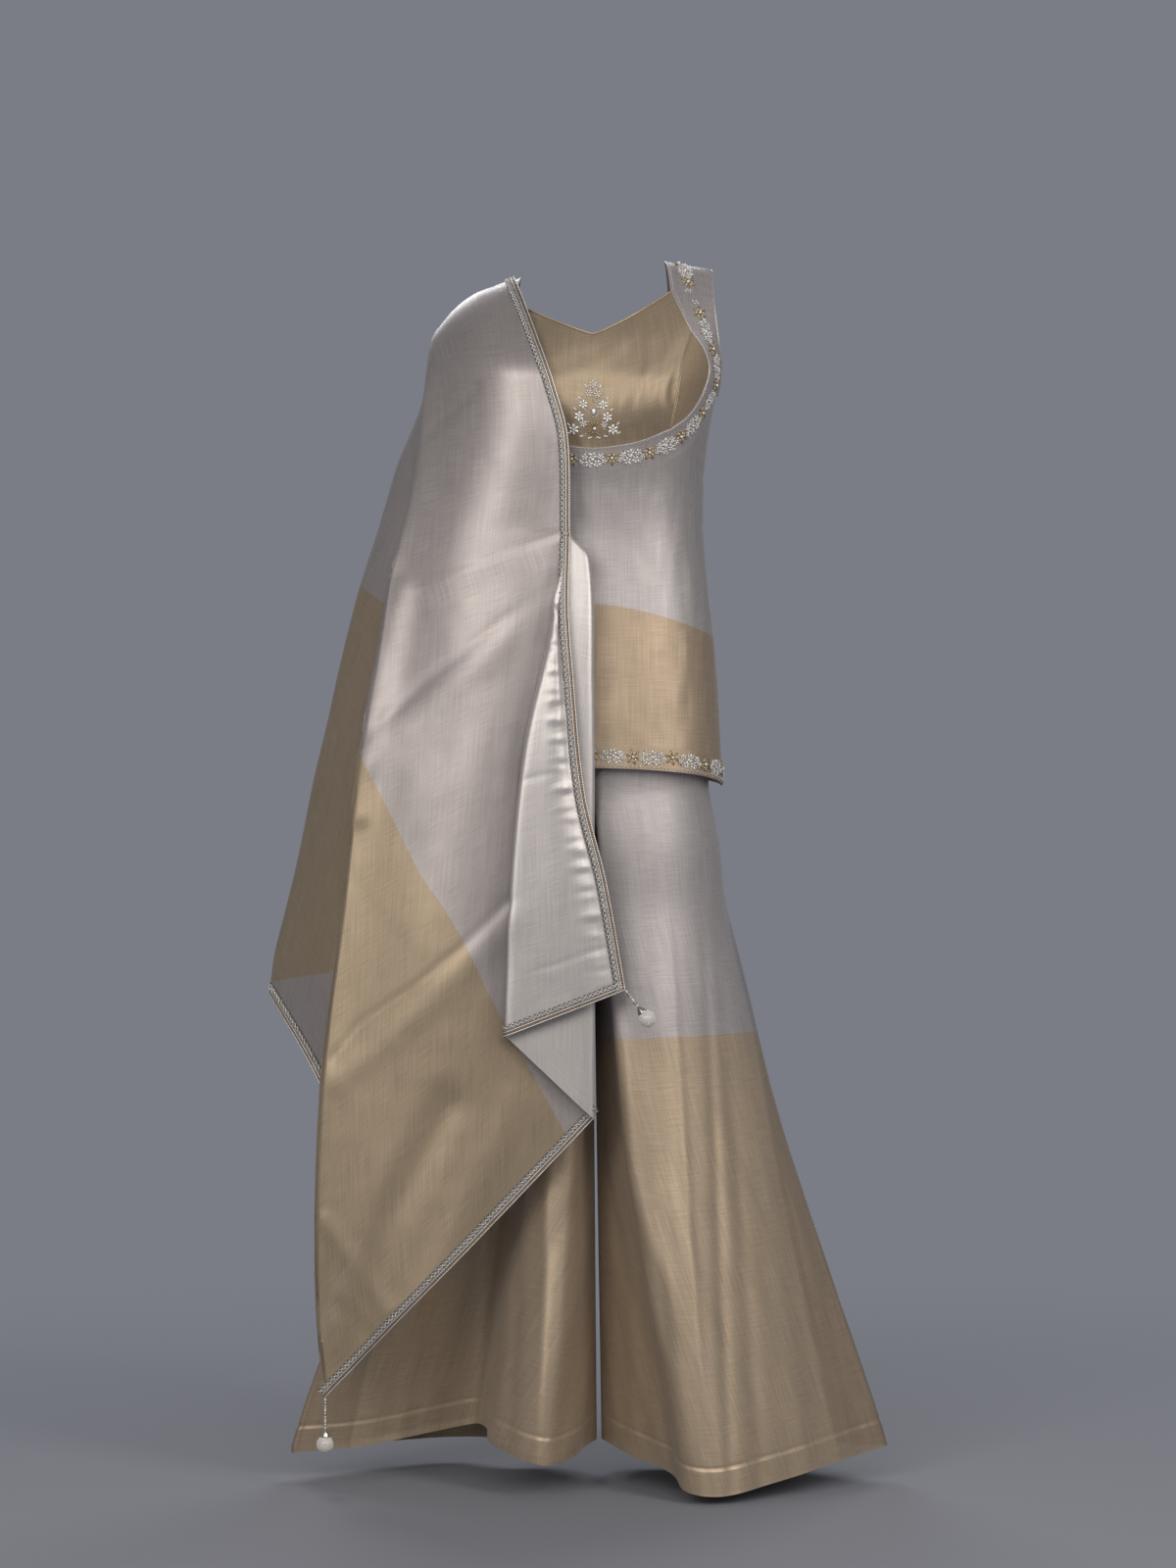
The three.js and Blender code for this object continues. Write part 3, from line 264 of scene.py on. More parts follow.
def divide(points, steps):
    """Points at even lengths along a smooth line through some points."""
    p = np.array(points, float)
    p = np.vstack([2 * p[0] - p[1], p, 2 * p[-1] - p[-2]])
    t = np.linspace(0, 1, 41)[:, None]
    fine = []
    for k in range(1, len(p) - 2):
        a, b, c, d = p[k - 1:k + 3]
        before, here, after = (max(np.sum((q - r) ** 2) ** 0.25, 1e-4) for q, r in ((a, b), (b, c), (c, d)))
        start = ((b - a) / before - (c - a) / (before + here) + (c - b) / here) * here
        end = ((c - b) / here - (d - b) / (here + after) + (d - c) / after) * here
        fine.append(b + t * start + t ** 2 * (3 * (c - b) - 2 * start - end)
                    + t ** 3 * (2 * (b - c) + start + end))
    fine = np.concatenate(fine)
    length = run_of(fine)
    at = np.linspace(0, length[-1], steps + 1)
    return np.stack([np.interp(at, length, fine[:, k]) for k in range(fine.shape[1])], 1)


def refine(net, parts, axis=0):
    """The net with each step along one axis split into parts, smooth through the same points."""
    net = np.moveaxis(np.asarray(net, float), axis, 0)
    p = np.concatenate([2 * net[:1] - net[1:2], net, 2 * net[-1:] - net[-2:-1]])
    rows = []
    for k in range(1, len(p) - 2):
        for t in np.arange(parts) / parts:
            a, b, c, d = p[k - 1], p[k], p[k + 1], p[k + 2]
            rows.append(b + 0.5 * t * (c - a + t * (2 * a - 5 * b + 4 * c - d + t * (3 * (b - c) + d - a))))
    rows.append(net[-1])
    return np.moveaxis(np.array(rows), 0, axis)


def ridge_height(x):
    return mix(SHOULDER_IN[1], SHOULDER_OUT[1],
               (np.abs(x) - SHOULDER_IN[0]) / (SHOULDER_OUT[0] - SHOULDER_IN[0]))


def chest_share(x, z):
    rise = np.clip((z - CHEST_Z) / (ridge_height(x) - CHEST_Z), 0, 1)
    return (1 - rise ** SHOULDER_POWER) ** (1 / SHOULDER_POWER)


def lower_right(points):
    """The right shoulder of the top hangs lower than the left."""
    keep = read(RIGHT_DROP, -points[..., 0])
    low = (points[..., 0] < 0) & (points[..., 2] > CHEST_Z)
    points[..., 2] = np.where(low, CHEST_Z + (points[..., 2] - CHEST_Z) * keep, points[..., 2])
    return points


def on_top(angle, z):
    """A point of the top: angle 0 is the centre front, 90 the left side and 180 the back."""
    angle, z = np.broadcast_arrays(np.asarray(angle, float), np.asarray(z, float))
    half = read(TOP_WIDTH, z)
    sine, cosine = np.sin(np.radians(angle)), np.cos(np.radians(angle))
    x = np.sign(sine) * half * np.abs(sine) ** (2 / RING_POWER)
    depth = np.where(cosine > 0, read(TOP_FRONT, z), read(TOP_BACK, z)) * chest_share(x, z)
    y = np.abs(cosine) ** (2 / RING_POWER) * depth
    bust = 8 * bell((np.abs(x) - 78) / 46) * bell((z + 180) / 42) * ease(cosine * 3)
    y = np.where(cosine > 0, -(y + bust), y)
    return lower_right(np.stack([x, y, z], -1))


def angle_of(x, z, back=False):
    share = np.clip(np.abs(x) / read(TOP_WIDTH, z), 0, 1)
    angle = np.degrees(np.arcsin(share ** (RING_POWER / 2)))
    return 180 - angle if back else angle


def seam(rows, steps, back=False):
    """A seam given by distance from the centre line and height, as rows of angle and height."""
    line = divide(rows, steps)
    return np.stack([angle_of(line[:, 0], line[:, 1], back), line[:, 1]], 1)


def place(net, side=1):
    net = np.asarray(net)
    return on_top(side * net[..., 0], net[..., 1])


def ripple(across, down, size, seed):
    """Soft uneven waves from -1 to 1, the same each time, of a given size in millimetres."""
    chance = random.Random(seed)
    total = 0
    for _ in range(14):
        turn = chance.uniform(0, math.pi)
        wave = size * chance.uniform(0.7, 1.5)
        shift = chance.uniform(0, 2 * math.pi)
        total = total + np.sin((across * math.cos(turn) + down * math.sin(turn)) * 2 * math.pi / wave + shift)
    return total / 5.3


def net_normals(net):
    down = np.gradient(net, axis=0)
    across = np.gradient(net, axis=1)
    normal = np.cross(down, across)
    return normal / np.maximum(np.linalg.norm(normal, axis=-1, keepdims=True), 1e-9)


def pushed(net, out):
    """The net moved out along its own normals, by a value for each point."""
    return net + net_normals(net) * np.asarray(out)[..., None]


def lengths(net):
    """How far each point is across and down the cloth, in millimetres."""
    across = np.zeros(net.shape[:2])
    across[:, 1:] = np.cumsum(np.linalg.norm(np.diff(net, axis=1), axis=-1), axis=1)
    across -= across[:, net.shape[1] // 2, None]
    down = np.zeros(net.shape[:2])
    down[1:] = np.cumsum(np.linalg.norm(np.diff(net, axis=0), axis=-1), axis=0)
    return across, down.mean(axis=1, keepdims=True) + 0 * across


def cloth(name, nets, wall, materials):
    """One piece of cloth from nets with rows down and columns from left to right, seen from outside.
    A net is a dict of points, and values for block, sheer and uv; touching edges are joined."""
    verts, faces, values, spots, picks = [], [], [], [], []
    for part in nets:
        net = part["points"]
        rows, columns = net.shape[:2]
        start = len(verts)
        across, down = part.get("uv", lengths(net))
        verts.extend((net.reshape(-1, 3) / 1000).tolist())
        spots.extend(np.stack([across, -down], -1).reshape(-1, 2) / 1000)
        block = np.broadcast_to(part.get("block", -1.0), (rows, columns)).ravel()
        sheer = np.broadcast_to(part.get("sheer", 0.0), (rows, columns)).ravel()
        values.extend(zip(block, sheer))
        for r in range(rows - 1):
            for c in range(columns - 1):
                a = start + r * columns + c
                faces.append((a, a + columns, a + columns + 1, a + 1))
                picks.append(part.get("material", 0))
    mesh = bpy.data.meshes.new(name)
    mesh.from_pydata(verts, [], faces)
    for material in materials:
        mesh.materials.append(material)
    mesh.polygons.foreach_set("material_index", picks)
    layer = mesh.uv_layers.new(name="cloth")
    corners = np.array([v for face in faces for v in face])
    layer.data.foreach_set("uv", np.array(spots, np.float32)[corners].ravel())
    for k, value in enumerate(("block", "sheer")):
        attribute = mesh.attributes.new(value, "FLOAT", "POINT")
        attribute.data.foreach_set("value", np.array([v[k] for v in values], np.float32))
    edit = bmesh.new()
    edit.from_mesh(mesh)
    bmesh.ops.remove_doubles(edit, verts=edit.verts, dist=0.00008)
    # A cut edge is sharp, so that the face beside it keeps its own tone
    for edge in edit.edges:
        edge.smooth = not edge.is_boundary
    edit.to_mesh(mesh)
    edit.free()
    mesh.polygons.foreach_set("use_smooth", [True] * len(mesh.polygons))
    piece = bpy.data.objects.new(name, mesh)
    scene.collection.objects.link(piece)
    if wall:
        thick = piece.modifiers.new("wall", "SOLIDIFY")
        thick.thickness = wall / 1000
        thick.offset = -1
    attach(piece, "root")
    return piece


# The yoke of the top: a middle panel of glossy gold tissue with a V neck, and on each side, beyond a
# princess seam, a panel of the same tissue cut the other way, which looks matt and darker.
NECK_V_Z = -100
NECK_CORNER = (98, -40)
yoke_upper = seam([NECK_CORNER, (110, -66), (124, -95)], 12)
yoke_side = seam([(124, -95), (139, -116), (146, -140), (136, -174), (118, -202), (97, -219)], 32)
princess = seam([(124, -95), (111, -140), (104, -184), (97, -219)], 32)
yoke_lower = seam([(97, -219), (59, -235), (17, -243), (0, -244)], 24)
side_line = np.vstack([yoke_upper, princess[1:]])

v = np.linspace(0, 1, len(side_line))[:, None]
u = 1 - np.linspace(0, 1, len(yoke_lower))[None, :]
centre_z = mix(NECK_V_Z, yoke_lower[-1, 1], v)
yoke_net = np.stack([
    side_line[:, :1] * u,
    mix(centre_z, side_line[:, 1:], np.where(u > 0, u, 0) ** (1 + v)),
], -1)
settle = ease((v - 0.8) / 0.2)
yoke_net = mix(yoke_net, yoke_lower[None], settle[..., None])


def across_body(net, places=place):
    """A net from the side seam to the centre, carried on to the other side."""
    return np.concatenate([places(net, -1), places(net, 1)[:, -2::-1]], axis=1)


yoke_points = across_body(yoke_net)
across, down = lengths(yoke_points)
# Small gathers run up from the seam, and the satin has a slight bloom of ripples.
gathers = 0.55 * np.sin(across / 3.1 + 2 * np.sin(down / 17)) * ease((down - 70) / 60)
pulls = 0
# Slack upright folds towards the strap: x at the top and below, z of the middle, half width, depth
for high, low_x, middle_z, half, depth in ((72, 58, -150, 4.5, 1.2), (62, 50, -165, 3.0, -0.8),
                                           (86, 74, -140, 5.0, -0.8), (-64, -52, -160, 5.0, 1.0)):
    at = mix(high, low_x, (-100 - yoke_points[..., 2]) / 130)
    pulls = pulls + (depth * bell((yoke_points[..., 0] - at) / half)
                     * bell((yoke_points[..., 2] - middle_z) / 42))
yoke_points = pushed(yoke_points, gathers + pulls + 0.5 * ripple(across, down, 46, 3))
GOLD_YOKE = tissue("gold_tissue_satin_woven", "#a08e75", "#85745f", rough=0.44, metal=0.52)
GOLD_SIDE = tissue("gold_tissue_cut_on_the_cross", "#a08c70", "#8a775f", rough=0.46, metal=0.5, matt=True)
yoke = cloth("yoke_centre_cloth", [{"points": yoke_points}], 1.0, [GOLD_YOKE])
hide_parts("yoke_front_centre")

share = np.linspace(0, 1, 9)[None, :, None]
yoke_side_net = princess[:, None] * (1 - share) + yoke_side[:, None] * share
for name, side in (("left", 1), ("right", -1)):
    points = place(yoke_side_net, side)
    if side < 0:
        points = points[:, ::-1]
    panel = cloth(f"yoke_side_cloth_{name}", [{"points": points}], 1.0, [GOLD_SIDE])
    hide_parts(f"yoke_front_side_{name}")

# The band round the yoke, and the strap that carries it over the shoulder: plain silver satin, faced
# and turned, that takes the embroidery on its inner part.
ARMHOLE = [(154, -53), (159, -98), (163, -132), (161.5, -152)]
ARMHOLE_LOW_Z = -172
arm_front = seam(ARMHOLE, 24)
side_top = np.array([[90, ARMHOLE_LOW_Z]])
# The stretch from the armhole to the side seam bends there, so it is filled in evenly.
turn = np.linspace(0, 1, 5)[1:-1, None]
body_side = np.vstack([side_top, seam([(147, -196), (133, -222), (118, -243)], 12)])
body_side = np.vstack([body_side[:1] * (1 - turn) + body_side[1:2] * turn, body_side[1:]])
body_side = np.vstack([side_top, body_side])
body_lower = seam([(118, -243), (92, -259), (59, -269), (17, -274), (0, -274.5)], 24)
band_inner = np.vstack([yoke_upper, yoke_side[1:], yoke_lower[1:]])
rest = np.vstack([body_side, body_lower[1:]])
join = np.vstack([arm_front[-1:], side_top])
arm_line = np.vstack([arm_front, join[:1] * 0.66 + join[1:] * 0.34, join[:1] * 0.33 + join[1:] * 0.67])
band_outer = np.vstack([arm_line, rest])
# Both edges get as many points, matched by their share of length within each stretch.
inner_share = np.concatenate([np.linspace(0, 6, 45), np.linspace(6, 17, 97)[1:]])
outer_index = np.concatenate([np.linspace(0, 6, len(arm_line)), np.linspace(7, 11, len(body_side)),
                              np.linspace(11, 17, len(body_lower))[1:]])
inner_index = np.concatenate([np.linspace(0, 3, len(yoke_upper)), np.linspace(3, 11, len(yoke_side))[1:],
                              np.linspace(11, 17, len(yoke_lower))[1:]])


def at_index(line, index, wanted):
    return np.stack([np.interp(wanted, index, line[:, k]) for k in (0, 1)], 1)


band_in = at_index(band_inner, inner_index, inner_share)
band_out = at_index(band_outer, outer_index, inner_share)
BAND_COLUMNS = np.linspace(0, 1, 9)
share = BAND_COLUMNS[None, :, None]
band_net = band_in[:, None] * (1 - share) + band_out[:, None] * share

BACK_IN = (98, -44)
BACK_OUT = (153, -52)


def strap_point(u, turn, side):
    """Over the shoulder: turn 1 is the front end of the strap, 0 the ridge and -1 the back."""
    front = turn > 0
    inner, outer = (NECK_CORNER, ARMHOLE[0]) if front else (BACK_IN, BACK_OUT)
    ends = np.array([[angle_of(*inner, not front), inner[1]], [angle_of(*outer, not front), outer[1]]])
    end = mix(ends[0], ends[1], u)
    end_x = abs(on_top(end[0], end[1])[0])
    share = abs(turn)
    if share == 1:
        return place(end, side)
    x = mix(mix(SHOULDER_IN[0], SHOULDER_OUT[0], u), end_x, share)
    ridge = ridge_height(x)
    end_rise = np.clip((end[1] - CHEST_Z) / (ridge_height(end_x) - CHEST_Z), 0, 1)
    end_turn = math.acos(end_rise ** (SHOULDER_POWER / 2))
    z = CHEST_Z + (ridge - CHEST_Z) * math.cos(end_turn * share) ** (2 / SHOULDER_POWER)
    if share == 0:
        return lower_right(np.array([side * x, 0.0, ridge]))
    width = (1 - (x / read(TOP_WIDTH, z)) ** RING_POWER) ** (1 / RING_POWER)
    depth = read(TOP_FRONT if front else TOP_BACK, z) * chest_share(x, z) * width
    return lower_right(np.array([side * x, -depth if front else depth, z]))


SATIN_BAND = tissue("silver_satin_band", "#afa8a5", "#958d8a", rough=0.41, metal=0.48)
band_points = {}
strap_points = {}
for name, side in (("left", 1), ("right", -1)):
    points = place(band_net, side)
    strap = np.array([[strap_point(c, t, side) for c in BAND_COLUMNS] for t in np.linspace(1, -1, 61)])
    band_points[name] = points
    strap_points[name] = strap
    across, down = lengths(strap)
    puckers = 0.5 * ripple(across * 0.4, down, 9, 5) * ease((across - 0) / 20)
    shown = pushed(strap[::-1], 0.3 + puckers[::-1])
    if side < 0:
        points, shown = points[:, ::-1], shown[:, ::-1]
    # Mapped straight up and down like the body, since the band is cut in one with its grain
    grain_across = side * 2.6 * (band_net[..., 0] if side > 0 else band_net[:, ::-1, 0])
    grain_down = -(band_net[..., 1] if side > 0 else band_net[:, ::-1, 1])
    band = cloth(f"band_cloth_{name}", [{"points": points, "uv": (grain_across, grain_down)}], 1.2,
                 [SATIN_BAND])
    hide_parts(f"band_{name}")
    over = cloth(f"strap_cloth_{name}", [{"points": shown}], 1.2, [SATIN_BAND])
    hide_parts(f"strap_{name}")

# The lower body of the top: a front and a back panel of silver tissue with a woven gold block above
# the hem, joined at the side seams. It hangs loose over the palazzo, with soft upright waves.
YOKE_BACK_SHARE = 0.17
BACK_SEAM_Z = -255
EVEN_OUT = 1.6


def hem_z(angle):
    to_side = 1 - np.abs(np.abs(angle) / 90 - 1)
    return HEM_CENTRE_Z - HEM_SIDE_DROP * to_side ** HEM_CURVE


def side_z(share):
    return mix(ARMHOLE_LOW_Z, hem_z(90.0), share)


body_top = np.vstack([body_side, body_lower[1:]])[::-1]
index = np.concatenate([np.linspace(0, 4, len(body_side)), np.linspace(4, 10, len(body_lower))[1:]])
body_top = at_index(body_top[::-1], index, np.linspace(10, 0, 51))
shares = np.linspace(0, 1, 81)[:, None]
even = np.linspace(0, 90, 51)[None, :]
body_angle = mix(body_top[None, :, 0], even, ease(shares * EVEN_OUT))
body_height = mix(body_top[None, :, 1], hem_z(body_angle), shares)
half_net = np.stack([body_angle, body_height], -1)
front_net = np.concatenate([place(half_net, -1)[:, ::-1], place(half_net, 1)[:, 1:]], axis=1)


def body_folds(points, seed):
    """Soft upright waves that grow towards the hem, and slack dents below the armholes."""
    across, down = lengths(points)
    fall = np.linspace(0, 1, points.shape[0])[:, None]
    x, z = points[..., 0], points[..., 2]
    waves = 1.6 * fall ** 1.4 * ripple(across, down * 0.16, 74, seed)
    fine = 0.35 * ripple(across, down * 0.5, 30, seed + 1)
    drags = 0
    # Dents below the armhole: distance from the centre line, height, slope, half width, depth
    for from_centre, height, slope, half, depth in (
        (128, -232, 0.9, 5.0, 1.5), (134, -262, 1.1, 6.0, 1.8), (120, -290, 0.8, 6.5, 1.2),
        (136, -330, 1.3, 7.0, 1.0),
    ):
        rise = z - height + slope * (np.abs(x) - from_centre)
        drags = drags - depth * bell(rise / half) * bell((np.abs(x) - from_centre) / 22)
    puckers = 0.5 * np.sin(across / 3.4 + 1.7 * np.sin(across / 23)) * bell((fall - 0.045) / 0.05)
    hold = np.minimum(1, fall * 12)
    return hold * (waves + fine + drags + puckers)


front_net = pushed(front_net, body_folds(front_net, 11) * 0.8)
back_shares = np.linspace(YOKE_BACK_SHARE, 1, 71)[:, None]
back_angle = 90 + even + 0 * back_shares
fall = (back_shares - YOKE_BACK_SHARE) / (1 - YOKE_BACK_SHARE)
back_height = mix(side_z(back_shares), mix(BACK_SEAM_Z, HEM_CENTRE_Z, fall), even / 90)
back_height = mix(back_height, hem_z(back_angle), ease((fall - 0.8) / 0.2))
back_half = np.stack([back_angle, back_height], -1)


def across_back(net):
    return np.concatenate([place(net, 1), place(net, -1)[:, -2::-1]], axis=1)


back_net = across_back(back_half)
back_net = pushed(back_net, body_folds(back_net, 23) * 0.8)


def top_block(points):
    """Distance below the upper edge of the gold block, in metres."""
    edge = -438 - 36 * (np.abs(points[..., 0]) / 152) ** 1.6
    return (edge - points[..., 2]) / 1000


TOP_TISSUE = tissue("silver_tissue_with_gold_block", "#afa8a5", "#958d8a", "#aa967d", "#8c7965",
                    rough=0.41, metal=0.48)
for name, net in (("front", front_net), ("back", back_net)):
    panel = cloth(f"top_{name}_cloth", [{"points": net, "block": top_block(net)}], 1.2, [TOP_TISSUE])
    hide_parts(f"body_{name}")

# The back bodice: one plain panel of gold tissue with a scooped neck, closed by a hidden side zip.
back_neck = seam([(0, -150), (40, -138), (78, -96), BACK_IN], 16, True)
back_strap = np.array([mix(np.array([angle_of(*BACK_IN, True), BACK_IN[1]]),
                           np.array([angle_of(*BACK_OUT, True), BACK_OUT[1]]), t)
                       for t in np.linspace(0, 1, 13)])
back_arm = seam([BACK_OUT, (160, -120), (159, -158)], 12, True)
back_edge = np.vstack([back_neck, back_strap[1:], back_arm[1:], side_top])[::-1]
index = np.concatenate([np.linspace(0, 4, 17), np.linspace(4, 7, 13)[1:], np.linspace(7, 9, 13)[1:], [10]])
back_edge = at_index(back_edge[::-1], index, np.linspace(10, 0, 51))
low = np.stack([back_half[0, :, 0], back_half[0, :, 1]], -1)
t = np.linspace(0, 1, 41)[:, None, None]
yoke_back_net = back_edge[None] * (1 - t) + low[None] * t
yoke_back_points = across_back(yoke_back_net)
across, down = lengths(yoke_back_points)
yoke_back_points = pushed(yoke_back_points, 0.6 * ripple(across, down, 60, 31) * ease(t[..., 0] * 6))
yoke_back = cloth("yoke_back_cloth", [{"points": yoke_back_points}], 1.0, [GOLD_YOKE])
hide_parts("yoke_back")

# Piping and hem strip of the top: thin satin cord along the neck and the princess seams, and a strip
# of the same gold tissue, stiffened, along the hem, which takes the bead embroidery.


def tube(lines, sides=6):
    """Joined tubes: each line is a dict of points, radius, and two directions across it."""
    verts, faces, spots = [], [], []
    ring = np.linspace(0, 2 * math.pi, sides, endpoint=False)
    for line in lines:
        points, one, two = line["points"], line["one"], line["two"]
        radius = np.broadcast_to(line["radius"], (len(points),))[:, None, None]
        rings = points[:, None] + radius * (np.cos(ring)[None, :, None] * one[:, None]
                                            + np.sin(ring)[None, :, None] * two[:, None])
        start = len(verts)
        verts.extend((rings.reshape(-1, 3) / 1000).tolist())
        run = run_of(points) / 1000
        for k in range(len(points)):
            spots.extend([(run[k], j / sides * 0.004) for j in range(sides)])
        for k in range(len(points) - 1):
            for j in range(sides):
                a, b = start + k * sides + j, start + k * sides + (j + 1) % sides
                faces.append((a, b, b + sides, a + sides))
        faces.append(tuple(start + j for j in range(sides))[::-1])
        faces.append(tuple(start + (len(points) - 1) * sides + j for j in range(sides)))
    return verts, faces, spots


def solid_piece(name, verts, faces, spots, material, picks=None):
    """A piece from plain mesh data, smooth shaded, with its map named cloth."""
    mesh = bpy.data.meshes.new(name)
    mesh.from_pydata(verts, [], faces)
    for one in material if isinstance(material, list) else [material]:
        mesh.materials.append(one)
    if picks is not None:
        mesh.polygons.foreach_set("material_index", picks)
    if spots is not None:
        layer = mesh.uv_layers.new(name="cloth")
        corners = np.array([v for face in faces for v in face])
        layer.data.foreach_set("uv", np.array(spots, np.float32)[corners].ravel())
    mesh.polygons.foreach_set("use_smooth", [True] * len(mesh.polygons))
    piece = bpy.data.objects.new(name, mesh)
    scene.collection.objects.link(piece)
    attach(piece, "root")
    return piece


def along_edge(points, inner, facing, spacing=2.0):
    """An edge at even steps, with the direction into the cloth and the one out of it."""
    run = run_of(points)
    at = np.linspace(0, run[-1], max(3, int(run[-1] / spacing)))
    line = np.stack([np.interp(at, run, points[:, k]) for k in range(3)], 1)
    inside = np.stack([np.interp(at, run, inner[:, k]) for k in range(3)], 1)
    forward = np.gradient(line, axis=0)
    forward /= np.linalg.norm(forward, axis=1, keepdims=True)
    into = inside - line
    into -= forward * np.sum(into * forward, axis=1, keepdims=True)
    into /= np.maximum(np.linalg.norm(into, axis=1, keepdims=True), 1e-9)
    out = np.cross(forward, into)
    sign = np.sign(np.sum(out * facing(line), axis=1, keepdims=True))
    return at, line, into, out * np.where(sign == 0, 1, sign)


def from_axis(line):
    return line * [1, 1, 0]


PIPING_SATIN = tissue("satin_piping_cord", "#b3a184", "#998a70", rough=0.34, metal=0.45)


def piping(name, edge, inner, radius, inset, lift, *nodes):
    at, line, into, out = along_edge(edge, inner, from_axis)
    verts, faces, spots = tube([{"points": line + into * inset + out * lift, "radius": radius,
                                 "one": into, "two": out}], 8)
    piece = solid_piece(name, verts, faces, spots, PIPING_SATIN)
    if nodes:
        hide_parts(*nodes)
    return piece


piping("neck_cord_front", yoke_points[0], yoke_points[2], 1.5, 1.2, 0.5, "neck_piping_front")
middle = yoke_back_points.shape[1] // 2
neck_span = slice(middle - 20, middle + 21)
piping("neck_cord_back", yoke_back_points[0, neck_span], yoke_back_points[2, neck_span], 1.5, 1.2, 0.5,
       "neck_piping_back")
for name, side in (("left", 1), ("right", -1)):
    line = place(princess, side)
    beside = place(princess + [2, 0], side)
    at, line, into, out = along_edge(line, beside, from_axis)
    verts, faces, spots = tube([
        {"points": line + into * shift + out * 0.3, "radius": 0.75, "one": into, "two": out}
        for shift in (-1.1, 1.1)
    ])
    solid_piece(f"princess_piping_{name}", verts, faces, spots, PIPING_SATIN)

# The strap's edges and the armhole are bound with a cord of silver tissue; the right strap, which the
# stole covers, has none
EDGE_CORD = tissue("silver_satin_cord", "#c3bdb8", "#9a928c", rough=0.34, metal=0.5)
ARM_ROWS = 46
for name in ("left", "right"):
    over, band = strap_points[name], band_points[name]
    cords = []
    bound = [(band[:, 0], band[:, 2], 1.05), (band[:ARM_ROWS, -1], band[:ARM_ROWS, -3], 1.05)]
    if name == "left":
        bound += [(over[:, 0], over[:, 2], 0.9), (over[:, -1], over[:, -3], 0.9)]
    for edge, inner, radius in bound:
        at, line, into, out = along_edge(edge, inner, lambda p: p - [math.copysign(120, p[0, 0]), 0, -160])
        cords.append({"points": line + into * 0.9 + out * 0.3, "radius": radius, "one": into, "two": out})
    verts, faces, spots = tube(cords, 8)
    solid_piece(f"edge_cords_{name}", verts, faces, spots, EDGE_CORD)

HEM_BORDER = 30
hem_lines = {}
for name, net in (("front", front_net), ("back", back_net)):
    last = net[-1]
    up = net[-12] - last
    up /= np.linalg.norm(up, axis=1, keepdims=True)
    rise = np.linspace(1, 0, 9)[:, None, None] * HEM_BORDER
    strip = last[None] + up[None] * rise
    strip = pushed(strip, np.full(strip.shape[:2], 0.7))
    hem_lines[name] = strip
    hem = cloth(f"hem_strip_{name}", [{"points": strip, "block": 1.0}], 0.6, [TOP_TISSUE])
    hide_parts(f"hem_border_{name}")

# The palazzo: each leg is a front and a back panel of tissue, silver above and a gold block below,
# over a narrower lining, so that the flare at the side is a little sheer. A 30 mm hem is turned up.
ROOM = [(-360, 6), (-410, 4), (-480, 1.15), (-530, 1.15), (-600, 9), (-664, 17)]
WAIST_TOP_Z = -362
WAIST_Z = -396
FLARE_Z = -664
HIP_END_Z = -724
CROTCH_FROM = -600
CROTCH_TO = -722
LEG_GAP = 0.35
WALL = 1.5
FLARE = [
    (-664, 146), (-730, 160), (-807, 168), (-899, 190), (-1026, 220), (-1112, 245), (-1285, 302),
    (-1442, 356), (-1500, 373),
]
# The hem of each leg: x, y and z from the side seam over the front fold to the inseam, then the back
LEFT_HEM = [
    (373, 6, -1499), (300, -58, -1510), (225, -128, -1522), (152, -178, -1531), (112, -164, -1527),
    (92, -118, -1512), (52, -66, -1500), (11, -8, -1488), (22, 62, -1497), (66, 118, -1508),
    (104, 112, -1509), (150, 154, -1514), (226, 128, -1512), (304, 68, -1505),
]
RIGHT_HEM = [
    (-383, 12, -1509), (-302, 14, -1502), (-216, 44, -1490), (-152, 50, -1478), (-136, -8, -1474),
    (-126, -72, -1484), (-58, -136, -1500), (5, -12, -1488), (-8, 66, -1495), (-62, 128, -1505),
    (-112, 118, -1507), (-168, 160, -1512), (-246, 134, -1512), (-322, 78, -1510),
]
INSEAM = 7
LEG_COLUMNS = 84
# The turned hem's height, its stitched line, and the share of the leg's length above the close rows
TURNED_HEM = 30
STITCH_LINE = 33
CLOSE_ROWS_FROM = 0.94


def hip_points(side, back, z, share):
    """Points of one leg's D at the hips, from the side seam along the ring and between the legs."""
    mid = LEG_GAP / 2 * side
    turn = np.radians(np.linspace(90, 0, 49))[None, :]
    room = WALL + read(ROOM, z)
    held = np.maximum(z, FLARE_Z)
    half = (read(TOP_WIDTH, held) - room)[:, None]
    depth = (read(TOP_BACK if back else TOP_FRONT, held) - room)[:, None]
    x = side * half * np.sin(turn) ** (2 / RING_POWER)
    y = (1 if back else -1) * depth * np.cos(turn) ** (2 / RING_POWER)
    x = np.where(np.abs(x) < abs(mid), mid, x)
    x = np.concatenate([x, np.full((len(z), 1), mid)], axis=1)
    y = np.concatenate([y, np.zeros((len(z), 1))], axis=1)
    run = np.concatenate([np.zeros((len(z), 1)), np.cumsum(np.hypot(np.diff(x), np.diff(y)), axis=1)], axis=1)
    reach = mix(run[:, -2], run[:, -1], ease((CROTCH_FROM - z) / (CROTCH_FROM - CROTCH_TO)))
    want = share * reach
    k = np.clip((run[:, 1:-1] < want[:, None]).sum(axis=1), 0, run.shape[1] - 2)
    row = np.arange(len(z))
    t = np.clip((want - run[row, k]) / (run[row, k + 1] - run[row, k]), 0, 1)
    return mix(x[row, k], x[row, k + 1], t), mix(y[row, k], y[row, k + 1], t)


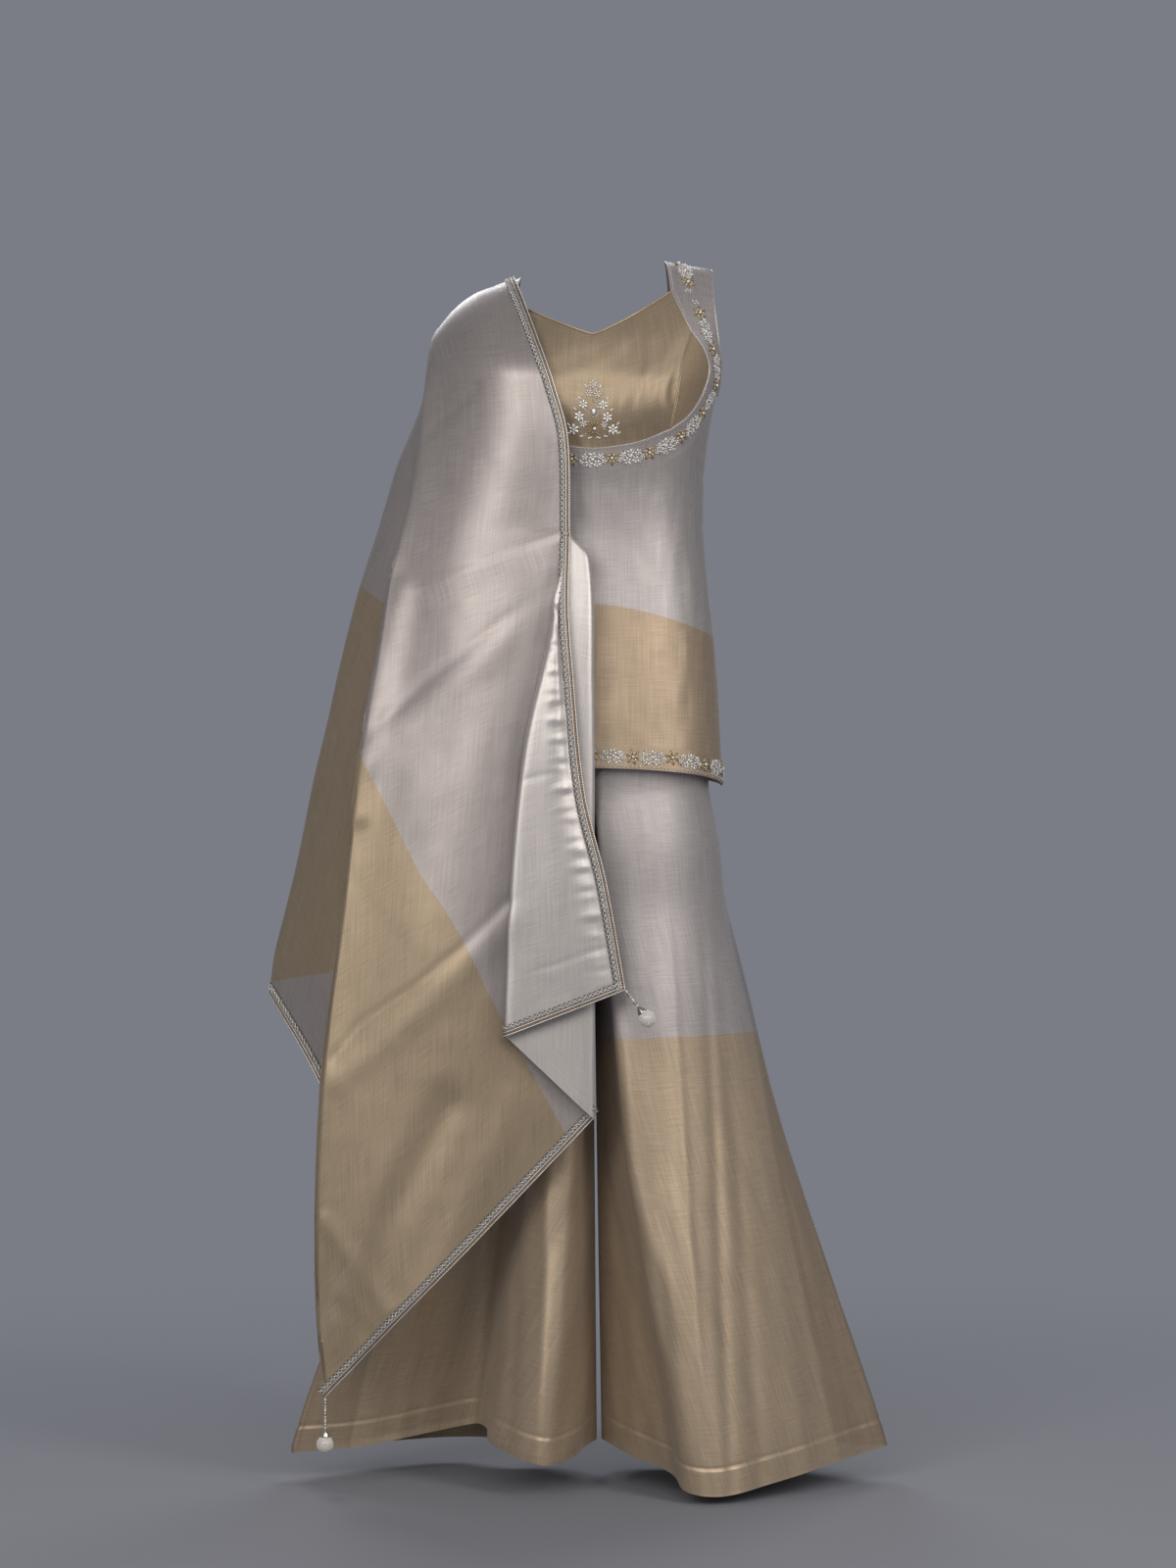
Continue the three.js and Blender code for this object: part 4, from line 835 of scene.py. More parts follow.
def leg_panel(hem, side, back):
    rows = [hem[0], *hem[INSEAM:][::-1]] if back else hem[:INSEAM + 1]
    foot = divide(rows, LEG_COLUMNS)
    # The rows lie close together over the last 60 mm, for the turned hem
    down = np.concatenate([np.linspace(0, CLOSE_ROWS_FROM, 96), np.linspace(CLOSE_ROWS_FROM, 1, 30)[1:]])
    share = np.linspace(0, 1, LEG_COLUMNS + 1)
    net = []
    for t in down:
        level = mix(WAIST_Z, hem[0][2], t)
        z = mix(WAIST_Z, foot[:, 2], t)
        weight = (read(FLARE, level) - FLARE[0][1]) / (FLARE[-1][1] - FLARE[0][1])
        weight = 1 if t == 1 else np.clip(weight, 0, 1)
        hip_x, hip_y = hip_points(side, back, np.maximum(z, HIP_END_Z), share)
        net.append(np.stack([mix(hip_x, foot[:, 0], weight), mix(hip_y, foot[:, 1], weight), z], -1))
    return np.array(net)


# Upright creases of the front panels: x at z -980 and at the hem, half width, height out
CREASES = {
    "left": [(104, 137, 5, 2.2), (146, 168, 7, -2.6), (70, 92, 12, -3.0), (196, 262, 14, 2.4),
             (168, 205, 9, -2.2), (205, 330, 6, 1.0), (44, 52, 9, 2.0)],
    "right": [(-52, -62, 8, 2.2), (-86, -104, 7, -2.0), (-20, -22, 8, 1.6), (-170, -250, 12, 2.2)],
}


def leg_relief(net, name, seed):
    """Creases and waves that grow from the hips down, and the doubled hem with its stitched line."""
    across, down = lengths(net)
    x, y, z = net[..., 0], net[..., 1], net[..., 2]
    grow = ease((-700 - z) / 500)
    total = grow * (2.2 * ripple(across, down * 0.06, 110, seed)
                    + 0.5 * ripple(across, down * 0.12, 46, seed + 1))
    total = total + 0.12 * ripple(across, down * 0.3, 26, seed + 2) * ease((-640 - z) / 100)
    for high, low, half, out in CREASES[name]:
        line = mix(high, low, np.clip((-980 - z) / 520, -0.4, 1))
        total = total + np.where(y < 40, grow * out * bell((x - line) / half), 0)
    rise = np.abs(z - net[-1:, :, 2])
    total = total + 0.7 * (1 - ease((rise - TURNED_HEM) / 3)) - 0.6 * bell((rise - STITCH_LINE) / 1.6)
    # Puckers of the stitched line
    total = total + 0.35 * np.sin(across / 2.6 + np.sin(across / 31)) * bell((rise - 31) / 9)
    return total


LEG_TISSUE = tissue("palazzo_tissue_with_gold_block", "#b4adaa", "#9a928f", "#b8a48a", "#9b8872",
                    rough=0.41, metal=0.48, sheer=0.3)
LINING = [(-396, 150), (-700, 158), (-850, 172), (-979, 200), (-1120, 225), (-1300, 262), (-1500, 305)]
for name, side, hem in (("left", 1, LEFT_HEM), ("right", -1, RIGHT_HEM)):
    front, back = leg_panel(hem, side, False), leg_panel(hem, side, True)
    if side > 0:
        net = np.concatenate([front[:, ::-1], back[:, 1:]], axis=1)
    else:
        net = np.concatenate([back[:, ::-1], front[:, 1:]], axis=1)
    block = (-979 + 6 * np.abs(net[..., 0]) / 230 - net[..., 2]) / 1000
    sheer = ease((np.abs(net[..., 0]) - read(LINING, net[..., 2])) / 5)
    out = leg_relief(net, name, 41 if side > 0 else 57)
    # Both edges of the net are the inseam, where the two panels stay joined
    ends = np.minimum(np.arange(net.shape[1]), np.arange(net.shape[1])[::-1])[None, :]
    net = pushed(net, out * ease(ends / 5))
    leg = cloth(f"palazzo_leg_{name}", [{"points": net, "block": block, "sheer": sheer}], 1.2,
                [LEG_TISSUE])
    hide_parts(f"leg_{name}_front", f"leg_{name}_back")

# The waistband: a doubled strip of tissue gathered on elastic, under the top.
turn = np.linspace(0, 360, 241)
rows = []
for z in np.linspace(WAIST_TOP_Z, WAIST_Z + 0.3, 11):
    room = WALL + read(ROOM, z)
    sine, cosine = np.sin(np.radians(turn)), np.cos(np.radians(turn))
    depth = np.where(cosine > 0, read(TOP_FRONT, z), read(TOP_BACK, z)) - room
    rows.append(np.stack([
        np.sign(sine) * (read(TOP_WIDTH, z) - room) * np.abs(sine) ** (2 / RING_POWER),
        -np.sign(cosine) * depth * np.abs(cosine) ** (2 / RING_POWER), z + 0 * turn], -1))
band_net = np.array(rows)
band_net = pushed(band_net, -0.5 + 0.4 * np.sin(np.radians(turn) * 60)[None, :] * np.ones((11, 1)))
waist = cloth("waistband_cloth", [{"points": band_net}], 2.0, [SATIN_BAND])
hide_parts("waistband")

# The stole: one length of sheer tissue, silver with a broad woven gold band along one edge. It comes
# over the shoulder from the back, hangs in front with a double pleat beside its trimmed edge, and falls
# open at the side. It was folded flat for storing, which left pressed lines across it.
RIDGE = [(-100, -14.6), (-122, -24.0), (-152, -35.9), (-180, -58), (-208, -92)]
# Lines that the cloth hangs by: z, x and y
EDGE_UPPER = [(-160, -50, -124), (-232, -31, -126), (-356, -28, -126)]
EDGE_LOWER = [(-356, -28, -134), (-443, -30, -150), (-532, -24, -157), (-675, -10, -160),
              (-782, 16, -163), (-916, 40, -164)]
PLEAT_LEFT = [(-358, -36, -131.4), (-420, -43, -143), (-501, -59, -150), (-623, -85, -154),
              (-807, -102, -156), (-973, -107, -157)]
PLEAT_RIGHT = [(-356, -27, -127.4), (-383, -4, -129), (-543, 1, -134), (-784, 1, -138), (-1075, 1, -140)]
FOLD_FRONT = [(-160, -216, -34), (-224, -224, -48), (-331, -239, -66), (-409, -256, -74), (-528, -274, -82),
              (-660, -295, -86), (-825, -313, -88), (-965, -331, -88), (-1093, -340, -88),
              (-1308, -345, -86), (-1425, -333, -84)]
OUTER_LINE = [(-92, -208, 0), (-167, -227, 2), (-242, -249, 4), (-313, -269, 6), (-410, -295, 8),
              (-521, -323, 10), (-618, -344, 12), (-766, -375, 12), (-881, -402, 12), (-932, -408, 12)]
FOLD_BACK = [(-160, -212, 44), (-313, -246, 74), (-521, -286, 100), (-766, -318, 118), (-1100, -336, 132)]
BACK_EDGE = [(-160, -66, 118), (-400, -44, 128), (-664, -30, 140), (-1000, -24, 156), (-1290, -22, 172)]
SIDE_BOTTOM = [-1425, -1330, -1215, -1190, -1040, -932, -938, -962, -996, -1040, -1090]
BACK_BOTTOM = [-1290, -1304, -1318, -1338, -1352, -1372, -1392, -1410, -1300, -1190, -1090]
FALL = 16
PLEAT_ROW = 3
MAIN_BULGE = 20
TUCK = 66
TUCK_IN = 12
FOLD_ROUND = 4
ROWS_EACH = 14
COLUMNS = 51
SIDE_PARTS = 6

end_right, end_left = PLEAT_RIGHT[-1][0], FOLD_FRONT[-1][0]
PLEAT_SHARE = (PLEAT_RIGHT[0][0] - CHEST_Z) / (end_right - CHEST_Z)
rows = np.linspace(0, FALL, FALL * ROWS_EACH + 1)
share_down = np.where(rows <= PLEAT_ROW, PLEAT_SHARE * rows / PLEAT_ROW,
                      mix(PLEAT_SHARE, 1, (rows - PLEAT_ROW) / (FALL - PLEAT_ROW)))


def on_line(line, z):
    """The point of a hanging line at each height."""
    z = np.asarray(z, float)
    return np.stack([read([(p[0], p[1]) for p in line], z), read([(p[0], p[2]) for p in line], z), z], -1)


def main_point(u, t):
    u, t = np.broadcast_arrays(np.asarray(u, float), np.asarray(t, float))
    right_z = mix(CHEST_Z, end_right, t)
    above = (t < PLEAT_SHARE - 1e-9)[..., None]
    right = np.where(above, on_line(EDGE_UPPER, right_z), on_line(PLEAT_RIGHT, right_z))
    left = on_line(FOLD_FRONT, mix(CHEST_Z, end_left, t))
    points = mix(right, left, u[..., None])
    over_bust = 1.4 * np.sin(np.pi * np.clip(u, 0, 1) ** 0.9) ** 1.2
    below = np.maximum(np.sin(np.pi * u), 0) ** 1.6
    points[..., 1] -= MAIN_BULGE * mix(over_bust, below, ease((t - 0.03) / (PLEAT_SHARE - 0.05)))
    return points


def back_point(u, t):
    u, t = np.broadcast_arrays(np.asarray(u, float), np.asarray(t, float))
    bottom = np.interp(u, np.linspace(0, 1, 11), BACK_BOTTOM)
    z = mix(CHEST_Z, bottom, t)
    points = mix(on_line(BACK_EDGE, z), on_line(FOLD_BACK, z), u[..., None])
    swell = np.maximum(np.sin(np.pi * u), 0)
    wave = np.sin(2 * np.pi * 3.5 * u) * ease(t * 1.4)
    points[..., 1] += swell * (mix(16, 24, t) + 13 * wave)
    return points


def over_shoulder(u, turn):
    u, turn = np.broadcast_arrays(np.asarray(u, float), np.asarray(turn, float))
    ridge_x = mix(RIDGE[0][0], RIDGE[-1][0], u)
    ridge_z = read(RIDGE, ridge_x)
    foot = np.where((turn < 0)[..., None], main_point(u, 0), back_point(u, 0))
    swing = np.abs(turn) * np.pi / 2
    rise = np.maximum(np.cos(swing), 0) ** (2 / SHOULDER_POWER)
    out = np.sin(swing) ** (2 / SHOULDER_POWER)
    return np.stack([mix(foot[..., 0], ridge_x, rise), foot[..., 1] * out,
                     mix(foot[..., 2], ridge_z, rise)], -1)


u = np.linspace(0, 1, COLUMNS)[None, :]
main_net = main_point(u, share_down[:, None])
back_fall = back_point(u, rows[:, None] / FALL)
turns = np.linspace(-1, 1, 10 * SIDE_PARTS + 1)
shoulder_net = over_shoulder(u, turns[:, None])
shoulder_net[0], shoulder_net[-1] = main_net[0], back_fall[0]


def side_target(z):
    """Where the side wants to hang at each height: columns from the front fold to the back one."""
    front, outer, back = on_line(FOLD_FRONT, z), on_line(OUTER_LINE, z), on_line(FOLD_BACK, z)
    columns = []
    for c in range(11):
        turn = abs(c - 5) / 5 * math.pi / 2
        end = front if c < 5 else back
        columns.append(np.stack([mix(end[..., 0], outer[..., 0], math.cos(turn)),
                                 mix(outer[..., 1], end[..., 1], math.sin(turn)), end[..., 2]], -1))
    inside = front + [TUCK, TUCK_IN, 0]
    tucked = [
        front,
        front + [FOLD_ROUND, FOLD_ROUND, 0],
        inside - [FOLD_ROUND, FOLD_ROUND, 0],
        inside,
        np.stack([mix(inside[..., 0], outer[..., 0], 0.5), mix(inside[..., 1], outer[..., 1], 0.2) + 5,
                  front[..., 2]], -1),
    ]
    pull = ease((-185 - z) / 260)[..., None]
    for c in range(5):
        columns[c] = mix(columns[c], tucked[c], pull)
    return columns


start = over_shoulder(1.0, np.linspace(-1, 1, 11))
fall_share = (rows / FALL)[:, None]
side_coarse = np.zeros((len(rows), 11, 3))
for c in range(11):
    z = mix(start[c, 2], SIDE_BOTTOM[c], fall_share[:, 0])
    target = side_target(z)[c]
    side_coarse[:, c] = mix(start[c], target, ease(fall_share * 5))
    side_coarse[:, c, 2] = z
side_coarse[:, 0], side_coarse[:, 10] = main_net[:, -1], back_fall[:, -1]
side_net = refine(side_coarse, SIDE_PARTS, axis=1)
# The first rows ease from the shoulder's own edge into the hanging side
settle = ease(np.arange(len(rows)) / 14)[:, None, None]
side_net = side_net + (shoulder_net[:, -1] - side_net[0]) * (1 - settle)
side_net[:, 0], side_net[:, -1] = main_net[:, -1], back_fall[:, -1]

pleat = slice(PLEAT_ROW * ROWS_EACH, None)
pleat_t = np.linspace(0, 1, len(rows) - PLEAT_ROW * ROWS_EACH)
pleat_main = main_net[pleat, 0]
pleat_fold = on_line(PLEAT_LEFT, mix(PLEAT_LEFT[0][0], PLEAT_LEFT[-1][0], pleat_t))
pleat_edge = on_line(EDGE_LOWER, mix(EDGE_LOWER[0][0], EDGE_LOWER[-1][0], pleat_t))


def rounding(a, b):
    wide = np.abs(a[:, 0] - b[:, 0])
    return np.minimum(FOLD_ROUND, wide / 3) / wide


def strip_net(a, b, shares, depth):
    """A layer between two lines; depth gives its y between them."""
    columns = []
    for share in shares:
        share = np.broadcast_to(share, (len(a),))[:, None]
        point = mix(a, b, share)
        inside = ((share > 0) & (share < 1))[:, 0]
        point[:, 1] = np.where(inside, depth(share[:, 0]), point[:, 1])
        columns.append(point)
    return np.stack(columns, 1)


round_main = rounding(pleat_main, pleat_fold)
middle_net = strip_net(pleat_main, pleat_fold, [0, round_main, 0.5, 1 - round_main, 1],
                       lambda s: mix(pleat_main[:, 1], pleat_fold[:, 1], 0.66))
layer = np.abs(pleat_main[:, 1] - pleat_fold[:, 1]) / 2
round_strip = rounding(pleat_fold, pleat_edge)
strip_shares = [0, round_strip, mix(round_strip, 1, 0.34), mix(round_strip, 1, 0.69), 1]
front_strip = strip_net(pleat_fold, pleat_edge, strip_shares,
                        lambda s: mix(pleat_fold[:, 1] - layer, pleat_edge[:, 1], s))
middle_net = refine(middle_net, 3, axis=1)
front_strip = refine(front_strip, 5, axis=1)

# Where the woven gold begins on the front layer: x and z
GOLD_LINE = [(-345, -520), (-290, -625), (-250, -703), (-212, -777), (-186, -813), (-157, -862),
             (-122, -934), (-72, -1024), (-30, -1101), (40, -1230)]
# On the side, column 0 is the front fold, 5 the outermost line and 10 the back fold: column and z
GOLD_SIDE_LINE = [(0, -625), (1, -610), (2, -560), (3, -500), (4, -445), (5, -408), (6, -392), (8, -385),
                  (10, -400)]
SELVEDGE_LINE = [(0, -1500), (2, -1100), (3, -890), (4, -898), (5, -911), (6, -915), (8, -965), (10, -1060)]
main_block = (read(GOLD_LINE, main_net[..., 0]) - main_net[..., 2]) * 0.5 / 1000
column = np.linspace(0, 10, 10 * SIDE_PARTS + 1)[None, :]
side_block = np.minimum(read(GOLD_SIDE_LINE, column) - side_net[..., 2],
                        side_net[..., 2] - read(SELVEDGE_LINE, column)) / 1000
back_line = mix(-1000, -400, u)
back_low = np.interp(u, np.linspace(0, 1, 11), BACK_BOTTOM) + 25
back_block = np.minimum((back_line - back_fall[..., 2]) * 0.5,
                        np.where(u > 0.68, back_fall[..., 2] - back_low, 99)) / 1000

# Pressed lines and folds of the front: x and z along the line, half width, height out
PRESSED = [
    ([(-30, -405), (-120, -468), (-206, -534), (-286, -606)], 8.0, -0.9),
    ([(-30, -430), (-120, -496), (-200, -560), (-280, -636)], 20.0, 1.6),
    ([(-103, -806), (-156, -860), (-213, -908), (-288, -960), (-322, -1004)], 7.0, -0.8),
    ([(-98, -832), (-208, -936), (-318, -1030)], 20.0, 1.5),
    ([(-147, -169), (-207, -218)], 7.0, -1.4),
    ([(-85, -659), (-23, -643)], 4.5, -1.2),
    ([(-65, -891), (16, -863)], 3.5, -1.2),
    ([(-54, -764), (-30, -873)], 3.0, 0.7),
    ([(-335, -1203), (-253, -1314)], 7.0, 1.6),
    ([(-318, -1308), (-277, -1344)], 6.0, -1.4),
    ([(-240, -420), (-268, -560), (-290, -700)], 16.0, 2.6),
    ([(-180, -1060), (-250, -1200), (-300, -1380)], 22.0, -3.2),
    ([(-90, -1060), (-150, -1180), (-220, -1340)], 26.0, 3.0),
]
STRIP_SWELL = 6.0
FLAT_EDGE = 13


def from_line(x, z, line):
    """Distance from a bent line."""
    best = np.full(x.shape, 1e9)
    for (ax, az), (bx, bz) in zip(line, line[1:]):
        dx, dz = bx - ax, bz - az
        t = np.clip(((x - ax) * dx + (z - az) * dz) / (dx * dx + dz * dz), 0, 1)
        best = np.minimum(best, np.hypot(x - ax - t * dx, z - az - t * dz))
    return best


def stole_relief(points):
    x, y, z = points.T
    total = 2.0 * ripple(x * 0.8 + y * 0.6, z * 0.3, 140, 71) + 0.45 * ripple(x + y, z * 0.3, 56, 72)
    total = total + 0.1 * ripple(x + y, z * 0.5, 22, 73)
    total = total * ease((-60 - z) / 120)
    for line, half, out in PRESSED:
        total = total + np.where(y < -20, out * bell(from_line(x, z, line) / half), 0)
    # The pleat's layers lie close, so they move less
    near = ease((x + 112) / 30) * (y < -100) * (z < -350)
    total = total * (1 - 0.75 * near)
    # The trimmed layer swells between its fold and its edge, and puckers along the stitched braid
    fold, edge = read([(p[0], p[1]) for p in PLEAT_LEFT], z), read([(p[0], p[1]) for p in EDGE_LOWER], z)
    top = read([(p[0], p[2]) for p in EDGE_LOWER], z)
    share = (x - fold) / (edge - fold)
    on_strip = (share > 0) & (share <= 1.001) & (y < top + 6) & (z < -375) & (z > -1010)
    # The stiff braid keeps the last of it flat
    loose = np.clip((x - fold) / np.maximum(edge - FLAT_EDGE - fold, 4), 0, 1)
    swell = STRIP_SWELL * np.sin(np.pi * loose ** 1.7) ** 0.8
    pucker = 1.1 * ripple((x - edge) * 0.25, z, 15, 74) * bell(((edge - x) - 25) / 9)
    return total + np.where(on_strip, swell * ease((-375 - z) / 60) + pucker * ease((-400 - z) / 60), 0)


def mesh_relief(piece, relief, rounds=0, where=None):
    """Moves the joined cloth out along its normals, after its joins are smoothed."""
    mesh = piece.data
    count = len(mesh.vertices)
    flat = np.zeros(count * 3)
    mesh.vertices.foreach_get("co", flat)
    points = flat.reshape(-1, 3) * 1000
    if rounds:
        pairs = np.zeros(len(mesh.edges) * 2, int)
        mesh.edges.foreach_get("vertices", pairs)
        a, b = pairs.reshape(-1, 2).T
        number = np.bincount(a, minlength=count) + np.bincount(b, minlength=count)
        weight = where(points)[:, None] * 0.6
        for _ in range(rounds):
            total = np.zeros_like(points)
            np.add.at(total, a, points[b])
            np.add.at(total, b, points[a])
            points = points + weight * (total / number[:, None] - points)
        mesh.vertices.foreach_set("co", (points / 1000).ravel())
        mesh.update()
    normals = np.array([v.normal for v in mesh.vertices])
    points = points + normals * relief(points)[:, None]
    mesh.vertices.foreach_set("co", (points / 1000).ravel())
    mesh.update()


def at_the_shoulder(points):
    """The joins below the shoulder are smoothed, away from the free edges."""
    x, y, z = points.T
    return ease((-175 - x) / 25) * ease((z + 420) / 150) * ease((-30 - z) / 40)


STOLE_TISSUE = tissue("stole_tissue_with_gold_band", "#b9b1ad", "#a0958f", "#b9a589", "#9b8971",
                      rough=0.38, metal=0.5, sheer=0.28)
# Where the pleat turns it over, the tissue shows its reverse, a whiter satin
# Part of its lightness is a painted highlight: the colour is raised to stand in for the sheen these turned
# layers catch from the lights.
STOLE_REVERSE_WITH_PAINTED_SHEEN = tissue("stole_tissue_satin_reverse_painted_sheen", "#cdc6c1", "#b4ada8", rough=0.37, metal=0.5, sheer=0.1)


def leftward(net):
    return net[:, ::-1]


stole = cloth("stole_cloth", [
    {"points": leftward(main_net), "block": leftward(main_block), "sheer": 1.0},
    {"points": leftward(shoulder_net[::-1]), "sheer": 1.0},
    {"points": back_fall, "block": back_block, "sheer": 1.0},
    {"points": leftward(side_net), "block": leftward(side_block), "sheer": 1.0},
    # The pleat's middle and front layers take the reverse tissue, whose lighter colour is partly a painted
    # highlight.
    {"points": middle_net, "sheer": 1.0, "material": 1},
    {"points": front_strip, "sheer": 1.0, "material": 1},
], 0, [STOLE_TISSUE, STOLE_REVERSE_WITH_PAINTED_SHEEN])
flat_points = [v.co * 1000 for v in stole.data.vertices]
mesh_relief(stole, stole_relief, 24, at_the_shoulder)
thick = stole.modifiers.new("wall", "SOLIDIFY")
thick.thickness = 0.0009
thick.offset = -1
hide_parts("dupatta_front", "dupatta_shoulder", "dupatta_back", "dupatta_side",
            "dupatta_front_middle", "dupatta_front_edge")

# The braid round the stole: a woven ribbon with three cords along its outer edge, silver, rose gold
# and silver, and two silver cords that cross in loops on the inner side. It is machine stitched on,
# and mitred at the corners.
# The ribbon, then the three outer cords: distance in from the edge, lift, radius, material, width
SILVER, ROSE, RIBBON = range(3)
BRAID_LAY = [(6.3, 0.75, 0.3, RIBBON, 21), (0.7, 1.25, 0.95, SILVER, 1), (2.8, 1.25, 0.8, ROSE, 1),
             (4.8, 1.3, 0.85, SILVER, 1)]
# The two looped cords: their middle line, swing, length of a loop, lift, and how they cross and slide
LOOP_MIDDLE = 9.6
LOOP_SWING = 3.1
LOOP_LENGTH = 13.0
LOOP_LIFT = 1.45
LOOP_CROSS = 0.4
LOOP_SLIDE = 1.3
LOOP_RADIUS = 0.8
EDGE_STEP = 1.5
# A wave texture of scale 1 has its bands 314 mm apart
WAVE_BAND = 314


def metal_thread(name, light, dark, rough, metal, turn_mm):
    """A cord wrapped in metal foil: the wrap shows as slanting light and dark lines."""
    material, tree = new_material(name)
    uv = node(tree, "ShaderNodeUVMap", uv_map="cloth")
    wrap = node(tree, "ShaderNodeTexWave",
                {"Vector": uv.outputs[0], "Scale": WAVE_BAND / turn_mm, "Distortion": 1.5, "Detail": 1.0},
                bands_direction="DIAGONAL")
    patch = node(tree, "ShaderNodeTexNoise", {"Vector": uv.outputs[0], "Scale": 60.0, "Detail": 3.0})
    both = node(tree, "ShaderNodeMath", {0: wrap.outputs["Fac"], 1: patch.outputs[0]}, operation="MULTIPLY")
    tone = node(tree, "ShaderNodeMix", {0: both.outputs[0], 6: linear(dark), 7: linear(light)},
                data_type="RGBA")
    gloss = node(tree, "ShaderNodeMapRange",
                 {"Value": patch.outputs[0], "To Min": rough - 0.06, "To Max": rough + 0.1})
    relief = node(tree, "ShaderNodeBump",
                  {"Height": wrap.outputs["Fac"], "Strength": 0.5, "Distance": 0.0003})
    thread = node(tree, "ShaderNodeBsdfPrincipled", {
        "Base Color": tone.outputs[2],
        "Roughness": gloss.outputs[0],
        "Normal": relief.outputs[0],
        "Metallic": metal,
    })
    node(tree, "ShaderNodeOutputMaterial", {"Surface": thread.outputs[0]})
    return material


SILVER_CORD = metal_thread("silver_wrapped_cord", "#f6f3ee", "#bdb8b1", 0.32, 0.5, 1.6)
ROSE_CORD = metal_thread("rose_gold_wrapped_cord", "#b79a7c", "#8a6f58", 0.4, 0.6, 1.6)
BRAID_RIBBON = metal_thread("woven_metal_ribbon", "#a29b94", "#7f7873", 0.45, 0.5, 2.6)

find_point = kdtree.KDTree(len(flat_points))
for number, spot in enumerate(flat_points):
    find_point.insert(spot, number)
find_point.balance()


def on_stole(points):
    """Points of the stole's nets, moved to where its creased cloth lies, with the cloth's normals."""
    found = [stole.data.vertices[find_point.find(p)[1]] for p in points.tolist()]
    return np.array([v.co * 1000 for v in found]), np.array([v.normal for v in found])


def braid(lines):
    """The cords and ribbon of one edge, as lines for tube(), with their material numbers."""
    edge, inner = lines
    spots, normals = on_stole(edge)
    inside, _ = on_stole(inner)
    run = run_of(spots)
    count = max(6, int(run[-1] / EDGE_STEP))
    at = np.linspace(0, run[-1], count)
    line, into, out = (np.stack([np.interp(at, run, field[:, k]) for k in range(3)], 1)
                       for field in (spots, inside - spots, normals))
    forward = np.gradient(line, axis=0)
    forward /= np.linalg.norm(forward, axis=1, keepdims=True)
    into -= forward * np.sum(into * forward, axis=1, keepdims=True)
    into /= np.maximum(np.linalg.norm(into, axis=1, keepdims=True), 1e-9)
    out = np.cross(forward, into)
    side = np.sign(np.sum(out * np.stack([np.interp(at, run, normals[:, k]) for k in range(3)], 1), axis=1))
    out *= np.where(side == 0, 1, side)[:, None]
    phase = 2 * np.pi * at / LOOP_LENGTH
    made = []

    def cord(offset, lift, radius, pick, slide=0.0, wide=1.0):
        points = line + into * np.reshape(offset, (-1, 1)) + out * np.reshape(lift, (-1, 1))
        points = points + forward * np.reshape(slide, (-1, 1))
        made.append(({"points": points, "radius": radius, "one": into * wide, "two": out}, pick))

    for offset, lift, radius, pick, wide in BRAID_LAY:
        cord(offset, lift, radius, pick, wide=wide)
    for sign in (-1, 1):
        cord(LOOP_MIDDLE + sign * LOOP_SWING * np.sin(phase), LOOP_LIFT + LOOP_CROSS * sign * np.cos(phase),
             LOOP_RADIUS, SILVER, slide=LOOP_SLIDE * np.sin(2 * phase))
    return made


def sewn_edge(name, edges, nodes):
    verts, faces, spots, picks = [], [], [], []
    for lines in edges:
        for one, pick in braid(lines):
            more_verts, more_faces, more_spots = tube([one], 5)
            faces.extend(tuple(len(verts) + v for v in face) for face in more_faces)
            picks.extend([pick] * len(more_faces))
            verts.extend(more_verts)
            spots.extend(more_spots)
    piece = solid_piece(name, verts, faces, spots, [SILVER_CORD, ROSE_CORD, BRAID_RIBBON], picks)
    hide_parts(*nodes)


STEP_IN = 6
neck_line = np.concatenate([shoulder_net[::-1, 0], main_net[1:PLEAT_ROW * ROWS_EACH + 1, 0]])
neck_inner = np.concatenate([shoulder_net[::-1, 4], main_net[1:PLEAT_ROW * ROWS_EACH + 1, 4]])
sewn_edge("stole_braid_neck_edge", [(neck_line, neck_inner)], ["trim_neck"])
sewn_edge("stole_braid_front_edge", [(front_strip[:, -1], front_strip[:, -4])], ["trim_front_edge"])
sewn_edge("stole_braid_front_end", [
    (front_strip[-1], front_strip[-STEP_IN]),
    (middle_net[-1], middle_net[-STEP_IN]),
    (main_net[-1], main_net[-STEP_IN]),
], ["trim_front_end_edge", "trim_front_end_middle", "trim_front_end"])
from_fold = 4 * SIDE_PARTS
sewn_edge("stole_braid_side_end", [(side_net[-1, from_fold:], side_net[-STEP_IN, from_fold:])],
          ["trim_side_edge"])
sewn_edge("stole_braid_back_end", [(back_fall[-1], back_fall[-STEP_IN])], ["trim_back_end"])
sewn_edge("stole_braid_back_edge", [(back_fall[:, 0], back_fall[:, 3])], ["trim_back_edge"])

# The tassels: at each corner a twisted silver cord with metal beads, a metal cap and a ball wound with
# rows of small pearly beads. They are knotted to the braid's mitre.
BALL_RADIUS = 11
CAP_LONG = 8
BEAD_STEP = 14
SEED = 1.15
SEED_ROWS = 13
STRAND_RADIUS = 0.5
STRAND_TURN = 7

